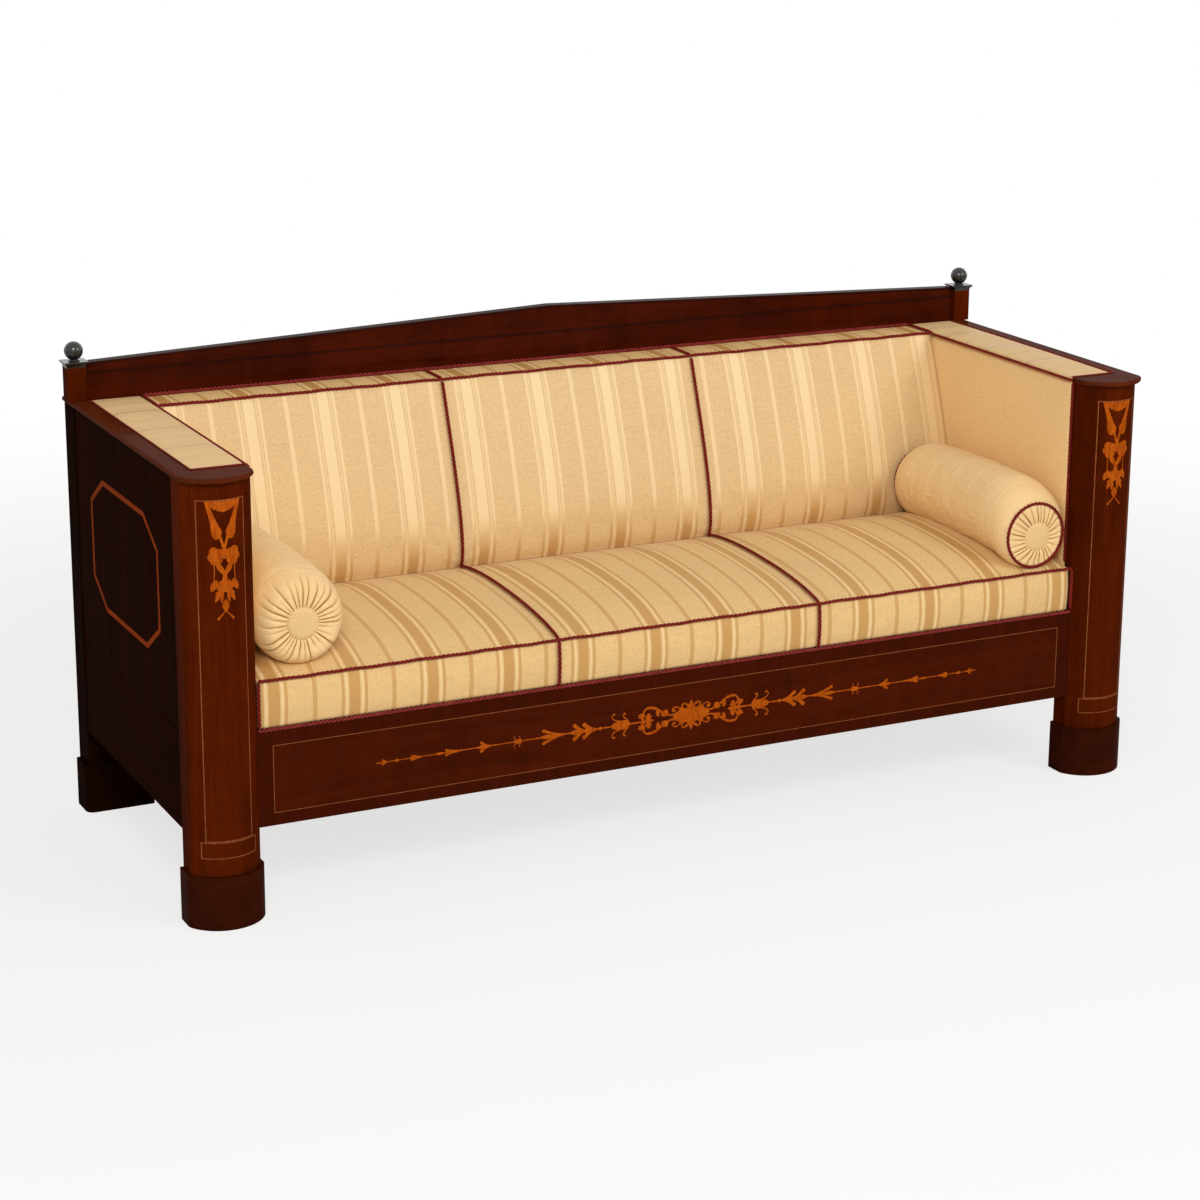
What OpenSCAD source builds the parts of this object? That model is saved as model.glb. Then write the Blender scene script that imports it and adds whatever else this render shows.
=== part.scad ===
// Three-seat box sofa with bow-fronted pillars, plinth feet, a low gabled crest and two bolsters.
// X runs along the sofa, Y towards its back and Z up. The origin is on the floor under its middle.
// Lengths are millimetres. Inside the modules, Y is 0 at the front corners of the two pillars.

/* [Frame] */
// Clear width between the inner faces of the front pillars
inner_w = 1800; // [1500:10:2100]
// Depth from the corners of the front pillars to the backs of the rear legs
frame_d = 718; // [690:2:780]
// Height of pillars, rear legs and arm rails, below the arm caps
arm_h = 846; // [800:2:900]

/* [Front pillars] */
// Width of a pillar across the sofa
pillar_w = 134; // [128:1:150]
// Depth of a pillar behind the line of its front corners
pillar_d = 44; // [40:1:56]
// How far the bowed face swells ahead of the corners
bow_rise = 41; // [30:1:48]
// Radius that softens the outer edge of the bowed face
bow_edge_r = 20; // [12:1:28]

/* [Plinth feet] */
// Height of the front plinths
plinth_h = 103; // [80:1:130]
// Height of the rear plinths
rear_plinth_h = 100; // [80:1:130]
// How far a plinth stands proud of its leg
plinth_t = 7; // [5:0.5:10]
// Radius of the outer front edge of a rear plinth
rear_plinth_r = 17; // [12:1:20]

/* [Rear legs] */
// Width of a rear leg across the sofa
rear_leg_w = 126; // [112:1:142]
// Depth of a rear leg
rear_leg_d = 61; // [56:1:70]

/* [Outer rails and panels] */
// Underside of the front and rear rails above the floor
rail_z = 171; // [130:1:200]
// Height of the front and rear rails
rail_h = 184; // [160:1:200]
// Thickness of the front and rear rails
rail_t = 34; // [28:1:40]
// How far the front rail lies behind the corners of the pillars
rail_setback = 1.5; // [0.5:0.5:6]
// Underside of the side rails above the floor
side_rail_z = 175; // [140:1:200]
// Height of the side rails, up to the groove under the side panels
side_rail_h = 188; // [160:1:210]
// Thickness of the side rails
side_rail_t = 30; // [24:1:36]
// Thickness of the side panels
panel_t = 18; // [12:1:22]
// How far the side rails and panels lie inside the pillars' outer faces
side_inset = 2; // [1:0.5:5]
// Width of the chamfers that form the groove between side rail and side panel
groove_w = 2.5; // [1:0.5:4]
// Thickness of the cover on the outside of the back
back_cover_t = 3; // [2:0.5:6]

/* [Inner frame] */
// Thickness of the arm top rails and of the deck rail along the top of the back
deck_t = 30; // [24:1:36]
// Depth of the back from the front of its inner frame to the backs of the rear legs
back_frame_d = 133; // [123:1:143]
// Thickness of the bearers, stuffing rails and back stiles
lath_t = 30; // [24:1:34]
// Height of the bearers and stuffing rails
lath_h = 40; // [34:1:48]
// Underside of the stuffing rails above the floor
stuffing_rail_z = 430; // [415:1:440]
// Width of the cross rails and back stiles
cross_w = 40; // [30:1:60]
// Height of the cross rails
cross_h = 45; // [36:1:60]
// How far the cross rails lie below the webbing
cross_drop = 15; // [10:1:25]
// Leg length of the glue blocks beside the cross rails
block_leg = 55; // [35:1:70]

/* [Joints in the wood] */
// Length of the main tenons
tenon_l = 28; // [20:1:28]
// Length of the stub tenons on bearers, stuffing rails and stiles
stub_l = 12; // [8:1:14]
// Thickness of the tenons
tenon_t = 12; // [8:1:14]
// Shoulder above and below each tenon
shoulder = 8; // [4:1:10]
// Length of the tongue on the edges of the side panels
tongue_l = 8; // [5:1:10]
// Thickness of the tongue on the edges of the side panels
tongue_t = 6; // [4:0.5:8]
// Clearance round tenons and tongues
joint_gap = 0.2; // [0.1:0.05:0.4]

/* [Arm caps] */
// Thickness of the caps
cap_t = 10; // [8:1:14]
// How far the front of a cap stands ahead of its pillar
cap_lead = 14; // [8:1:20]
// How far a cap oversails the inner face of its pillar
cap_inner_lip = 2; // [1:0.5:4]
// How far a cap oversails the outer face of its pillar
cap_outer_lip = 5; // [3:0.5:8]
// Width of the wooden margin along the outside of the arm
cap_margin = 36; // [34:1:42]
// Radius of the outer front corner of a cap
cap_corner = 12; // [9:1:18]

/* [Crest, posts and finials] */
// How far the back of the crest lies ahead of the backs of the rear legs
crest_back = 36; // [30:1:42]
// Thickness of the crest
crest_t = 20; // [16:1:26]
// Height of the flat crest rail
crest_rail_h = 63; // [50:1:70]
// Height of the bead between crest rail and gable
bead_h = 3; // [2:0.5:5]
// How far the bead and the capping stand proud of the crest
bead_proud = 2; // [1:0.5:4]
// Height of the crest at its ends, capping included
crest_end_h = 85; // [80:1:95]
// Height of the crest at its middle, capping included
crest_peak_h = 122; // [105:1:150]
// Thickness of the capping along the gable
capping_t = 4; // [3:0.5:6]
// Width of a post
post_w = 38; // [30:1:40]
// How far a post oversails the outer edge of the arm's cap
post_out = 6; // [2:0.5:8]
// How far a post stands ahead of the crest
post_lead = 12; // [6:1:16]
// Height of a post above the arm cap
post_h = 68; // [60:1:80]
// Height of the hollow-moulded cap of a post
post_cap_h = 12; // [9:1:16]
// Overhang of the cap of a post
post_cap_lip = 5; // [3:0.5:7]
// Diameter of the ball finials
ball_d = 37; // [32:1:38]
// Diameter of the neck under a ball
neck_d = 17; // [12:1:20]
// Height of the ball's centre above the cap of its post
ball_rise = 20; // [19:0.5:24]

/* [Webbing] */
// Thickness of the jute webbing
web_t = 2; // [1:0.5:3]
// Width of the webbing bands
web_w = 60; // [45:1:70]
// Bands from front to back in each seat section
seat_bands = 4; // [3:1:5]
// Bands from side to side under the seat
long_bands = 5; // [3:1:6]
// Upright bands in each section of the back
back_bands = 4; // [3:1:5]
// Upright bands in each arm
arm_bands = 4; // [3:1:5]

/* [Seat upholstery] */
// Half of the width of the middle section of seat and back
division_x = 288; // [260:1:320]
// Height of the front border from the webbing to the cord
border_h = 92; // [75:1:110]
// How far the top edge of the border lies behind the pillars' corners
border_y = 4; // [2:0.5:8]
// How far the middle of the border swells
border_bulge = 7; // [3:0.5:10]
// How much higher the seat is at its back than at its front edge
seat_rise = 23; // [10:1:35]
// Height of the seat's dome from front to back
seat_dome = 22; // [12:1:30]
// Extra crown in the middle of each seat section
seat_crown = 9; // [4:1:14]

/* [Back upholstery] */
// Width of the flat band along the top of the back
band_w = 94; // [90:1:102]
// How far the foot of the back lies ahead of its top edge
back_rake = 88; // [73:1:108]
// How far the lower back swells ahead of its foot
back_belly = 42; // [20:1:50]
// How far the upper face leans in below the top edge
back_lean = 51; // [30:1:60]
// Height over which the upper face leans in
back_lean_h = 140; // [110:5:170]
// Thickness of the padding on the deck rail
band_t = 5; // [3:0.5:8]
// Crown of each back section
back_crown = 4; // [2:0.5:8]

/* [Arm upholstery] */
// How far the inner arm padding stands proud of the pillar
arm_proud = 5; // [3:0.5:8]
// Front edge of the arm padding behind the pillar's corner
arm_pad_y = 29; // [20:1:34]
// Crown of the inner arm padding
arm_crown = 3; // [1:0.5:4]
// Height of the arm top pad at its edges
top_pad_t = 8; // [6:0.5:10]
// Crown of the arm top pad
top_pad_crown = 2; // [0.5:0.5:3]

/* [Cords and braid] */
// Diameter of the twisted cord
cord_d = 7; // [5:0.5:8]
// Diameter of the thin welt round the arm top pads
welt_d = 4; // [3:0.5:5]
// Height of the braid along the rail and the crest
braid_h = 9; // [6:0.5:11]
// Thickness of the braid
braid_t = 4; // [3:0.5:5]

/* [Bolsters] */
// Front ends of the bolsters behind the pillars' corners
bolster_y = 16; // [10:1:30]
// Space between the bolsters and the fullest part of the back
bolster_room = 2; // [1:0.5:12]
// Diameter of the left bolster, which has gathered ends
left_d = 176; // [160:1:180]
// Diameter of the right bolster, which has corded ends
right_d = 170; // [160:1:176]
// Diameter of the gathered ends of the left bolster
gather_d = 140; // [120:1:150]
// Diameter of the corded ring on the right bolster
ring_d = 143; // [130:1:150]
// Diameter of the covered buttons
button_d = 58; // [45:1:64]
// Space between the left bolster and the cord of the arm
left_room = 0.5; // [0.5:0.5:16]
// How far the right bolster is pressed flat beside the cord of the arm
right_press = 12; // [0:0.5:14]
// How far the front ends of the bolsters lie above the front edge of the seat
bolster_lift = 9; // [6:1:14]
// How much the bolsters rise with the dome of the seat
bolster_follow = 13; // [8:1:20]

/* [Hidden] */

// Colours
mahogany = [0.36, 0.12, 0.05];
dark_mahogany = [0.22, 0.07, 0.03];
beech = [0.72, 0.56, 0.38];
ebonised = [0.08, 0.07, 0.06];
jute = [0.62, 0.50, 0.32];
silk = [0.88, 0.74, 0.50];
maroon = [0.45, 0.10, 0.12];

// Facets of true round shapes
round_fn = 96;
// Small space that keeps soft pieces clear of what they do not belong to
soft_gap = 0.4;
// How far a cut runs past the face that it opens
past = 1;
// Trace by which the round of a pillar's edge is fuller than tangent
trace = 0.05;
// Steps of the stuffed forms: over the seat, down its border, up the back, across a section, on a pad
seat_steps = 12;
border_steps = 5;
back_steps = 12;
section_steps = 10;
pad_steps = 6;
// Sides of the bent cords and of the bolsters, and rings along the body of a bolster
cord_sides = 6;
bolster_sides = 36;
body_rings = 9;
// Depth of the dish, rounding and pleats at the ends of the bolsters
end_dish = 7;
end_round = 15;
pleat_rise = 1.5;
// Angle at which a bolster's cord sits on the edge of its end
ring_seat = 50;
// Collar under the ball finials
collar_h = 2;
collar_lip = 3;
// Width of the tenons of the arm top rails, and the wood left between them and the deck rail's tenon
arm_tenon_w = 36;
tenon_space = 5;
// How the seat is tucked in under the back: where it ends, runs on to and drops to, and the gap above
seat_short = 2;
tuck_in = 4;
tuck_drop = 8;
foot_gap = 1;
// Where the cords of the divisions stop, ahead of the back and above its foot
seat_cord_short = 14;
back_cord_lift = 10;

// Lines across the sofa, from the middle outwards
pillar_in = inner_w / 2;
pillar_out = pillar_in + pillar_w;
side_face = pillar_out - side_inset;
lining_x = pillar_out - rear_leg_w;
arm_face = min(pillar_in, lining_x - web_t) - arm_proud;
cap_in = pillar_in - cap_inner_lip;
cap_out = pillar_out + cap_outer_lip;
margin_x = cap_out - cap_margin;
post_x = cap_out + post_out - post_w;

// Lines from front to back
nose_y = -cap_lead - bow_rise;
middle_y = (nose_y + frame_d) / 2;
rear_leg_y = frame_d - rear_leg_d;
crest_y = frame_d - crest_back - crest_t;
back_frame_y = frame_d - back_frame_d;
back_top_y = crest_y - band_w;
back_foot_y = back_top_y - back_rake;
rail_back_y = rail_setback + rail_t;
inside_back_y = frame_d - back_cover_t;
rear_rail_y = inside_back_y - rail_t;
back_web_y = back_frame_y - web_t;
post_y = crest_y - post_lead;
post_d = post_lead + crest_t;
seat_back_y = back_foot_y - seat_short;
tuck_y = back_foot_y + tuck_in;

// Heights
rail_top = rail_z + rail_h;
groove_z = side_rail_z + side_rail_h;
deck_z = arm_h - deck_t;
seat_base = rail_top + 2 * web_t;
edge_z = seat_base + border_h;
cap_top = arm_h + cap_t;
band_top = arm_h + band_t;
tuck_z = edge_z + seat_rise - tuck_drop;
foot_z = edge_z + seat_rise + foot_gap;
pad_top = arm_h + top_pad_t;
lining_z = edge_z + seat_rise + seat_dome + soft_gap;

// Cords and bolsters. The bolsters stay clear of the arm's cord as they are lifted out.
cord_off = cord_d / 2 + soft_gap;
bolster_side = arm_face - cord_off - cord_d / 2 - soft_gap;
left_x = bolster_side - left_room - left_d / 2;
right_x = bolster_side + right_press - right_d / 2;
right_ring_r = (ring_d - cord_d) / 2;
belly_y = min([for (i = [0 : back_steps]) back_face(eased(i, back_steps))[0]]) - back_crown;
bolster_back_y = belly_y - bolster_room;

// Crest, posts and joints
post_top = cap_top + post_h;
bead_z = arm_h + crest_rail_h;
gable_z = bead_z + bead_h;
long_tenon_h = rail_h - 2 * shoulder;
lath_tenon_h = lath_h - 2 * shoulder;
bearer_z = rail_top + web_t - lath_h;
deck_tenon_h = deck_t - 2 * shoulder;
arm_tenon_x = lining_x + tenon_l + tenon_space;

// Stands the sofa with its origin under its middle
module home() {
    translate([0, -middle_y, 0]) children();
}

// Copies a piece of the right side to the left side
module left_side() {
    mirror([1, 0, 0]) children();
}

// A box between two corners, grown by a clearance when it cuts the mortise for itself
module block(low, high, gap = 0) {
    grow = [gap, gap, gap];
    translate(low - grow) cube(high - low + 2 * grow);
}

// Radius of a bow over a chord
function bow_r(chord, rise) = (chord * chord / 4 + rise * rise) / (2 * rise);

// Plan of a bowed pillar: square corners inside, softened edge outside.
// The round of the edge is a trace fuller than tangent, so that it crosses the bow and the side.
module bow_plan(x0, x1, rise, depth, edge_r) {
    r = bow_r(x1 - x0, rise);
    middle = [(x0 + x1) / 2, r - rise];
    edge_x = x1 - edge_r;
    edge = [edge_x, middle[1] - sqrt(pow(r - edge_r, 2) - pow(edge_x - middle[0], 2))];
    beyond = edge + (edge - middle);
    y_mid = min(depth, middle[1]) / 3;
    intersection() {
        translate(middle) circle(r, $fn = round_fn * 2);
        polygon([[x0, y_mid], [x0, -rise - past], [beyond[0], -rise - past], beyond, edge,
                 [middle[0], y_mid]]);
    }
    intersection() {
        translate(edge) circle(edge_r + trace, $fn = round_fn);
        translate(edge - [0, 2 * edge_r]) square([edge_r, 2 * edge_r]);
    }
    polygon([[x0, y_mid], [middle[0], y_mid], edge, [x1, edge[1]], [x1, depth], [x0, depth]]);
}

// Tenons of one end, each the same box as the mortise that takes it
module front_rail_tenon(gap = 0) {
    y = rail_setback + (rail_t - tenon_t) / 2;
    z = rail_z + shoulder;
    block([pillar_in - past, y, z], [pillar_in + tenon_l, y + tenon_t, z + long_tenon_h], gap);
}

module rear_rail_tenon(gap = 0) {
    y = rear_rail_y + (rail_t - tenon_t) / 2;
    z = rail_z + shoulder;
    block([lining_x - past, y, z], [lining_x + tenon_l, y + tenon_t, z + long_tenon_h], gap);
}

module deck_rail_tenon(gap = 0) {
    z = deck_z + shoulder;
    block([lining_x - past, rear_leg_y + shoulder, z],
          [lining_x + tenon_l, inside_back_y - shoulder, z + deck_tenon_h], gap);
}

// A tenon at each end of a rail that runs from the front pillar to the rear leg
module side_tenons(x, width, z, height, length, gap) {
    block([x, pillar_d - length, z], [x + width, pillar_d + past, z + height], gap);
    block([x, rear_leg_y - past, z], [x + width, rear_leg_y + length, z + height], gap);
}

module side_rail_tenons(gap = 0) {
    side_tenons(side_face - (side_rail_t + tenon_t) / 2, tenon_t,
                side_rail_z + shoulder, side_rail_h - 2 * shoulder, tenon_l, gap);
}

module arm_rail_tenons(gap = 0) {
    side_tenons(arm_tenon_x, arm_tenon_w, deck_z + shoulder, deck_tenon_h, tenon_l, gap);
}

module lath_tenons(z, gap = 0) {
    side_tenons(lining_x + (lath_t - tenon_t) / 2, tenon_t, z + shoulder, lath_tenon_h, stub_l, gap);
}

module panel_tongues(gap = 0) {
    side_tenons(side_face - (panel_t + tongue_t) / 2, tongue_t, groove_z, arm_h - groove_z,
                tongue_l, gap);
}

// Everything that the front pillar and the rear leg are cut for
module side_mortises() {
    side_rail_tenons(joint_gap);
    arm_rail_tenons(joint_gap);
    lath_tenons(bearer_z, joint_gap);
    lath_tenons(stuffing_rail_z, joint_gap);
    panel_tongues(joint_gap);
}

module pillar() {
    difference() {
        linear_extrude(arm_h) bow_plan(pillar_in, pillar_out, bow_rise, pillar_d, bow_edge_r);
        front_rail_tenon(joint_gap);
        side_mortises();
    }
}

module rear_leg() {
    difference() {
        block([lining_x, rear_leg_y, 0], [pillar_out, frame_d, arm_h]);
        rear_rail_tenon(joint_gap);
        deck_rail_tenon(joint_gap);
        side_mortises();
    }
}

// Sleeve round three sides of the pillar's foot
module plinth_front() {
    linear_extrude(plinth_h) difference() {
        bow_plan(pillar_in - plinth_t, pillar_out + plinth_t, bow_rise + plinth_t, pillar_d,
                 bow_edge_r + plinth_t);
        bow_plan(pillar_in, pillar_out, bow_rise, pillar_d + past, bow_edge_r);
    }
}

// Sleeve round three sides of the rear leg's foot
module plinth_rear() {
    x0 = lining_x - plinth_t;
    x1 = pillar_out + plinth_t;
    y0 = rear_leg_y - plinth_t;
    r = rear_plinth_r;
    linear_extrude(rear_plinth_h) difference() {
        union() {
            translate([x0, y0]) square([x1 - x0 - r, frame_d - y0]);
            translate([x0, y0 + r]) square([x1 - x0, frame_d - y0 - r]);
            translate([x1 - r, y0 + r]) circle(r, $fn = round_fn);
        }
        translate([lining_x, rear_leg_y]) square([rear_leg_w, rear_leg_d + past]);
    }
}

// V-groove where side rail and side panel meet
module groove() {
    translate([side_face, rear_leg_y + past, groove_z]) rotate([90, 0, 0])
        linear_extrude(rear_leg_y - pillar_d + 2 * past)
            polygon([[-groove_w, 0], [past, groove_w + past], [past, -groove_w - past]]);
}

// Rail under the side panel
module side_rail() {
    difference() {
        union() {
            block([side_face - side_rail_t, pillar_d, side_rail_z], [side_face, rear_leg_y, groove_z]);
            side_rail_tenons();
        }
        groove();
    }
}

module side_panel() {
    difference() {
        union() {
            block([side_face - panel_t, pillar_d, groove_z], [side_face, rear_leg_y, arm_h]);
            panel_tongues();
        }
        groove();
    }
}

// Inner rail along one side, where webbing or the arm's lining is nailed
module lath(z) {
    block([lining_x, pillar_d, z], [lining_x + lath_t, rear_leg_y, z + lath_h]);
    lath_tenons(z);
}

// Wide flat rail under the arm's cap and top pad
module arm_top_rail() {
    block([lining_x, pillar_d, deck_z], [side_face - panel_t, rear_leg_y, arm_h]);
    arm_rail_tenons();
}

// Triangular block glued into a corner, with its legs along +X and +Y before it turns
module glue_block(corner, turn, leg) {
    translate(corner) rotate(turn) linear_extrude(cross_h) polygon([[0, 0], [leg, 0], [0, leg]]);
}

module corner_blocks_right() {
    z = rail_top - cross_drop - cross_h;
    inner_x = side_face - side_rail_t;
    leg = inner_x - lining_x - lath_t;
    glue_block([inner_x, pillar_d, z], 90, leg);
    glue_block([inner_x, rear_leg_y, z], 180, leg);
    glue_block([division_x + cross_w / 2, rail_back_y, z], 0, block_leg);
    glue_block([division_x - cross_w / 2, rail_back_y, z], 90, block_leg);
}

// Sector of a disc whose edge is rounded over, between two angles
module nosed_sector(r, from, to) {
    nose = cap_t / 2;
    rotate(from) rotate_extrude(angle = to - from, $fn = round_fn * 2) {
        translate([r - nose, nose]) circle(nose, $fn = round_fn / 2);
        square([r - nose, cap_t]);
    }
}

// Cap of an arm: a bowed front with a rounded nose and a margin back along the outside
module arm_cap() {
    nose = cap_t / 2;
    r = bow_r(cap_out - cap_in, bow_rise);
    cx = (cap_in + cap_out) / 2;
    cy = nose_y + r;
    ex = cap_out - cap_corner;
    ey = cy - sqrt(pow(r - cap_corner, 2) - pow(ex - cx, 2));
    turn = atan2(ey - cy, ex - cx);
    translate([0, 0, arm_h]) {
        intersection() {
            translate([cx, cy, 0]) nosed_sector(r, -180, turn);
            block([cap_in, nose_y - past, -past], [cap_out, arm_pad_y, cap_t + past]);
        }
        translate([ex, ey, 0]) nosed_sector(cap_corner, turn, 0);
        block([cap_in, 0, 0], [cap_out - nose, arm_pad_y, cap_t]);
        translate([cap_out, frame_d, 0]) rotate([90, 0, 0]) linear_extrude(frame_d - ey) {
            translate([-nose, nose]) circle(nose, $fn = round_fn / 2);
            translate([-cap_margin, 0]) square([cap_margin - nose, cap_t]);
        }
    }
}

module front_rail() {
    color(mahogany) home() {
        block([-pillar_in, rail_setback, rail_z], [pillar_in, rail_back_y, rail_top]);
        front_rail_tenon();
        left_side() front_rail_tenon();
    }
}

module rear_rail() {
    color(beech) home() {
        block([-lining_x, rear_rail_y, rail_z], [lining_x, inside_back_y, rail_top]);
        rear_rail_tenon();
        left_side() rear_rail_tenon();
    }
}

// Rails from front to back below the webbing, one under each division
module cross_rails() {
    z = rail_top - cross_drop - cross_h;
    color(beech) home() for (side = [-1, 1])
        block([side * division_x - cross_w / 2, rail_back_y, z],
              [side * division_x + cross_w / 2, rear_rail_y, z + cross_h]);
}

// Stub tenon at the head of each back stile
module stile_tenon(side, gap = 0) {
    y = back_frame_y + (lath_t - tenon_t) / 2;
    x = side * division_x;
    block([x - cross_w / 2 + shoulder, y, deck_z - past],
          [x + cross_w / 2 - shoulder, y + tenon_t, deck_z + stub_l], gap);
}

// Half of a stile's thickness, cut away where the stuffing rail crosses it
module stile_lap(side, y, gap = 0) {
    x = side * division_x;
    block([x - cross_w / 2, y, stuffing_rail_z], [x + cross_w / 2, y + lath_t / 2, stuffing_rail_z + lath_h],
          gap);
}

module back_stiles() {
    color(beech) home() for (side = [-1, 1]) {
        difference() {
            block([side * division_x - cross_w / 2, back_frame_y, rail_top - cross_drop],
                  [side * division_x + cross_w / 2, back_frame_y + lath_t, deck_z]);
            stile_lap(side, back_frame_y, joint_gap);
        }
        stile_tenon(side);
    }
}

module back_stuffing_rail() {
    color(beech) home() difference() {
        block([-lining_x, back_frame_y, stuffing_rail_z],
              [lining_x, back_frame_y + lath_t, stuffing_rail_z + lath_h]);
        for (side = [-1, 1]) stile_lap(side, back_frame_y + lath_t / 2, joint_gap);
    }
}

// Wide rail along the top of the back, which carries the crest
module back_deck_rail() {
    color(mahogany) home() difference() {
        union() {
            block([-lining_x, back_frame_y, deck_z], [lining_x, inside_back_y, arm_h]);
            deck_rail_tenon();
            left_side() deck_rail_tenon();
        }
        for (side = [-1, 1]) stile_tenon(side, joint_gap);
    }
}

module outside_back() {
    color(jute) home() block([-lining_x, inside_back_y, rail_z], [lining_x, frame_d, arm_h]);
}

// Height of the gable's outline at its ends and its peak, less a margin
function gable_line(z0, less) = [
    [-post_x, z0], [post_x, z0], [post_x, arm_h + crest_end_h - less],
    [0, arm_h + crest_peak_h - less], [-post_x, arm_h + crest_end_h - less]
];

module crest_rail() {
    color(mahogany) home() {
        block([-margin_x, crest_y, arm_h], [margin_x, crest_y + crest_t, cap_top]);
        block([-post_x, crest_y, cap_top], [post_x, crest_y + crest_t, bead_z]);
    }
}

module crest_bead() {
    color(dark_mahogany) home()
        block([-post_x, crest_y - bead_proud, bead_z], [post_x, crest_y + crest_t, gable_z]);
}

// Room that the caps of the posts need in the ends of the gable
module post_cap_room() {
    for (side = [0, 1]) mirror([side, 0, 0])
        block([post_x - post_cap_lip, post_y - post_cap_lip, post_top],
              [post_x + post_w, post_y + post_d + post_cap_lip, post_top + post_cap_h], joint_gap);
}

module crest_gable() {
    color(mahogany) home() difference() {
        translate([0, crest_y + crest_t, 0]) rotate([90, 0, 0])
            linear_extrude(crest_t) polygon(gable_line(gable_z, capping_t));
        post_cap_room();
    }
}

module crest_capping() {
    color(dark_mahogany) home() difference() {
        translate([0, crest_y + crest_t + bead_proud, 0]) rotate([90, 0, 0])
            linear_extrude(crest_t + 2 * bead_proud) difference() {
                polygon(gable_line(gable_z, 0));
                polygon(gable_line(gable_z - past, capping_t));
            }
        post_cap_room();
    }
}

module post() {
    block([post_x, post_y, cap_top], [post_x + post_w, post_y + post_d, post_top]);
}

// Profile of a hollow moulding under a square edge, half of it mirrored about the middle
module hollow_profile(width) {
    slab = post_cap_h / 4;
    hollow = post_cap_h - slab;
    half = width / 2;
    for (side = [0, 1]) mirror([side, 0]) difference() {
        square([half + post_cap_lip, post_cap_h]);
        translate([half + post_cap_lip, 0]) hollow_cut(hollow);
    }
}

// Quarter hollow as deep as the lip, cut with a round of the moulding's height
module hollow_cut(hollow) {
    r = (post_cap_lip * post_cap_lip + hollow * hollow) / (2 * post_cap_lip);
    intersection() {
        translate([-post_cap_lip + r, 0]) circle(r, $fn = round_fn);
        translate([-post_cap_lip, -past]) square([post_cap_lip + past, hollow + past]);
    }
}

module post_cap() {
    translate([post_x + post_w / 2, post_y + post_d / 2, post_top]) intersection() {
        translate([0, post_d, 0]) rotate([90, 0, 0]) linear_extrude(2 * post_d) hollow_profile(post_w);
        translate([-post_w, 0, 0]) rotate([90, 0, 90]) linear_extrude(2 * post_w) hollow_profile(post_d);
    }
}

// Ball on a short neck with a collar
module finial() {
    r = ball_d / 2;
    neck_h = ball_rise - sqrt(r * r - neck_d * neck_d / 4);
    translate([post_x + post_w / 2, post_y + post_d / 2, post_top + post_cap_h]) {
        translate([0, 0, ball_rise]) sphere(r, $fn = round_fn);
        cylinder(h = neck_h, d = neck_d, $fn = round_fn);
        cylinder(h = collar_h, d = neck_d + 2 * collar_lip, $fn = round_fn);
    }
}

// Middle of each of a number of bands spread evenly over a span
function band_middles(from, to, count) = [
    for (i = [0 : count - 1]) from + (to - from) * (i + 0.5) / count
];

// Bands over the three sections, from one arm to the other
function section_bands(count) = concat(
    band_middles(-lining_x, -division_x, count),
    band_middles(-division_x, division_x, count),
    band_middles(division_x, lining_x, count)
);

module seat_webbing_cross() {
    color(jute) home() for (x = section_bands(seat_bands))
        block([x - web_w / 2, rail_setback + shoulder, rail_top],
              [x + web_w / 2, inside_back_y - shoulder, rail_top + web_t]);
}

module seat_webbing_long() {
    reach = lining_x + lath_t - shoulder;
    color(jute) home() for (y = band_middles(rail_back_y, back_frame_y, long_bands))
        block([-reach, y - web_w / 2, rail_top + web_t], [reach, y + web_w / 2, seat_base]);
}

module back_webbing() {
    color(jute) home() for (x = section_bands(back_bands))
        block([x - web_w / 2, back_web_y, stuffing_rail_z], [x + web_w / 2, back_frame_y, arm_h]);
}

module arm_webbing() {
    color(jute) home() for (side = [0, 1]) mirror([side, 0, 0])
        for (y = band_middles(pillar_d, back_web_y, arm_bands))
            block([lining_x - web_t, y - web_w / 2, stuffing_rail_z], [lining_x, y + web_w / 2, arm_h]);
}

// Closed solid through rings that each have the same number of points.
// Each ring runs anticlockwise as seen from the last ring.
module loft(rings) {
    n = len(rings[0]);
    last = len(rings) - 1;
    walls = [for (i = [0 : last - 1], j = [0 : n - 1], half = [0, 1])
        let (p = i * n + j, q = i * n + (j + 1) % n)
            half == 0 ? [p, q + n, q] : [p, p + n, q + n]];
    near_end = [for (j = [1 : n - 2]) [0, j, j + 1]];
    far_end = [for (j = [1 : n - 2]) [last * n, last * n + j + 1, last * n + j]];
    polyhedron([for (ring = rings, p = ring) p], concat(walls, near_end, far_end));
}

function bezier(a, b, c, d, t) =
    pow(1 - t, 3) * a + 3 * t * pow(1 - t, 2) * b + 3 * t * t * (1 - t) * c + pow(t, 3) * d;

// Share of the way at step i of n, in smaller steps towards both ends
function eased(i, n) = (1 - cos(180 * i / n)) / 2;

// Fullness of a stuffed section, from 1 in its middle to 0 at its seams
function fullness(s) = 1 - pow(abs(s), 3);

// Shape of the dome from the front edge, where u is 0, to the back, where u is 1
function arch(u) = u <= 0 || u >= 1 ? 0 : pow(1 - pow(abs(2 * u - 1), 2.4), 0.8);

// Height of the seat at depth u and at place s between the seams of a section
function seat_height(u, s) =
    edge_z + seat_rise * u + (seat_dome + seat_crown * fullness(s)) * arch(u);

function seat_y(u) = border_y + u * (seat_back_y - border_y);

function seat_u(y) = (y - border_y) / (seat_back_y - border_y);

// Face of the front border at height h, from 0 at the braid to 1 at the cord
function border_face(h, s) = border_y - border_bulge * sin(180 * h) * (1 + fullness(s)) / 2;

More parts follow.
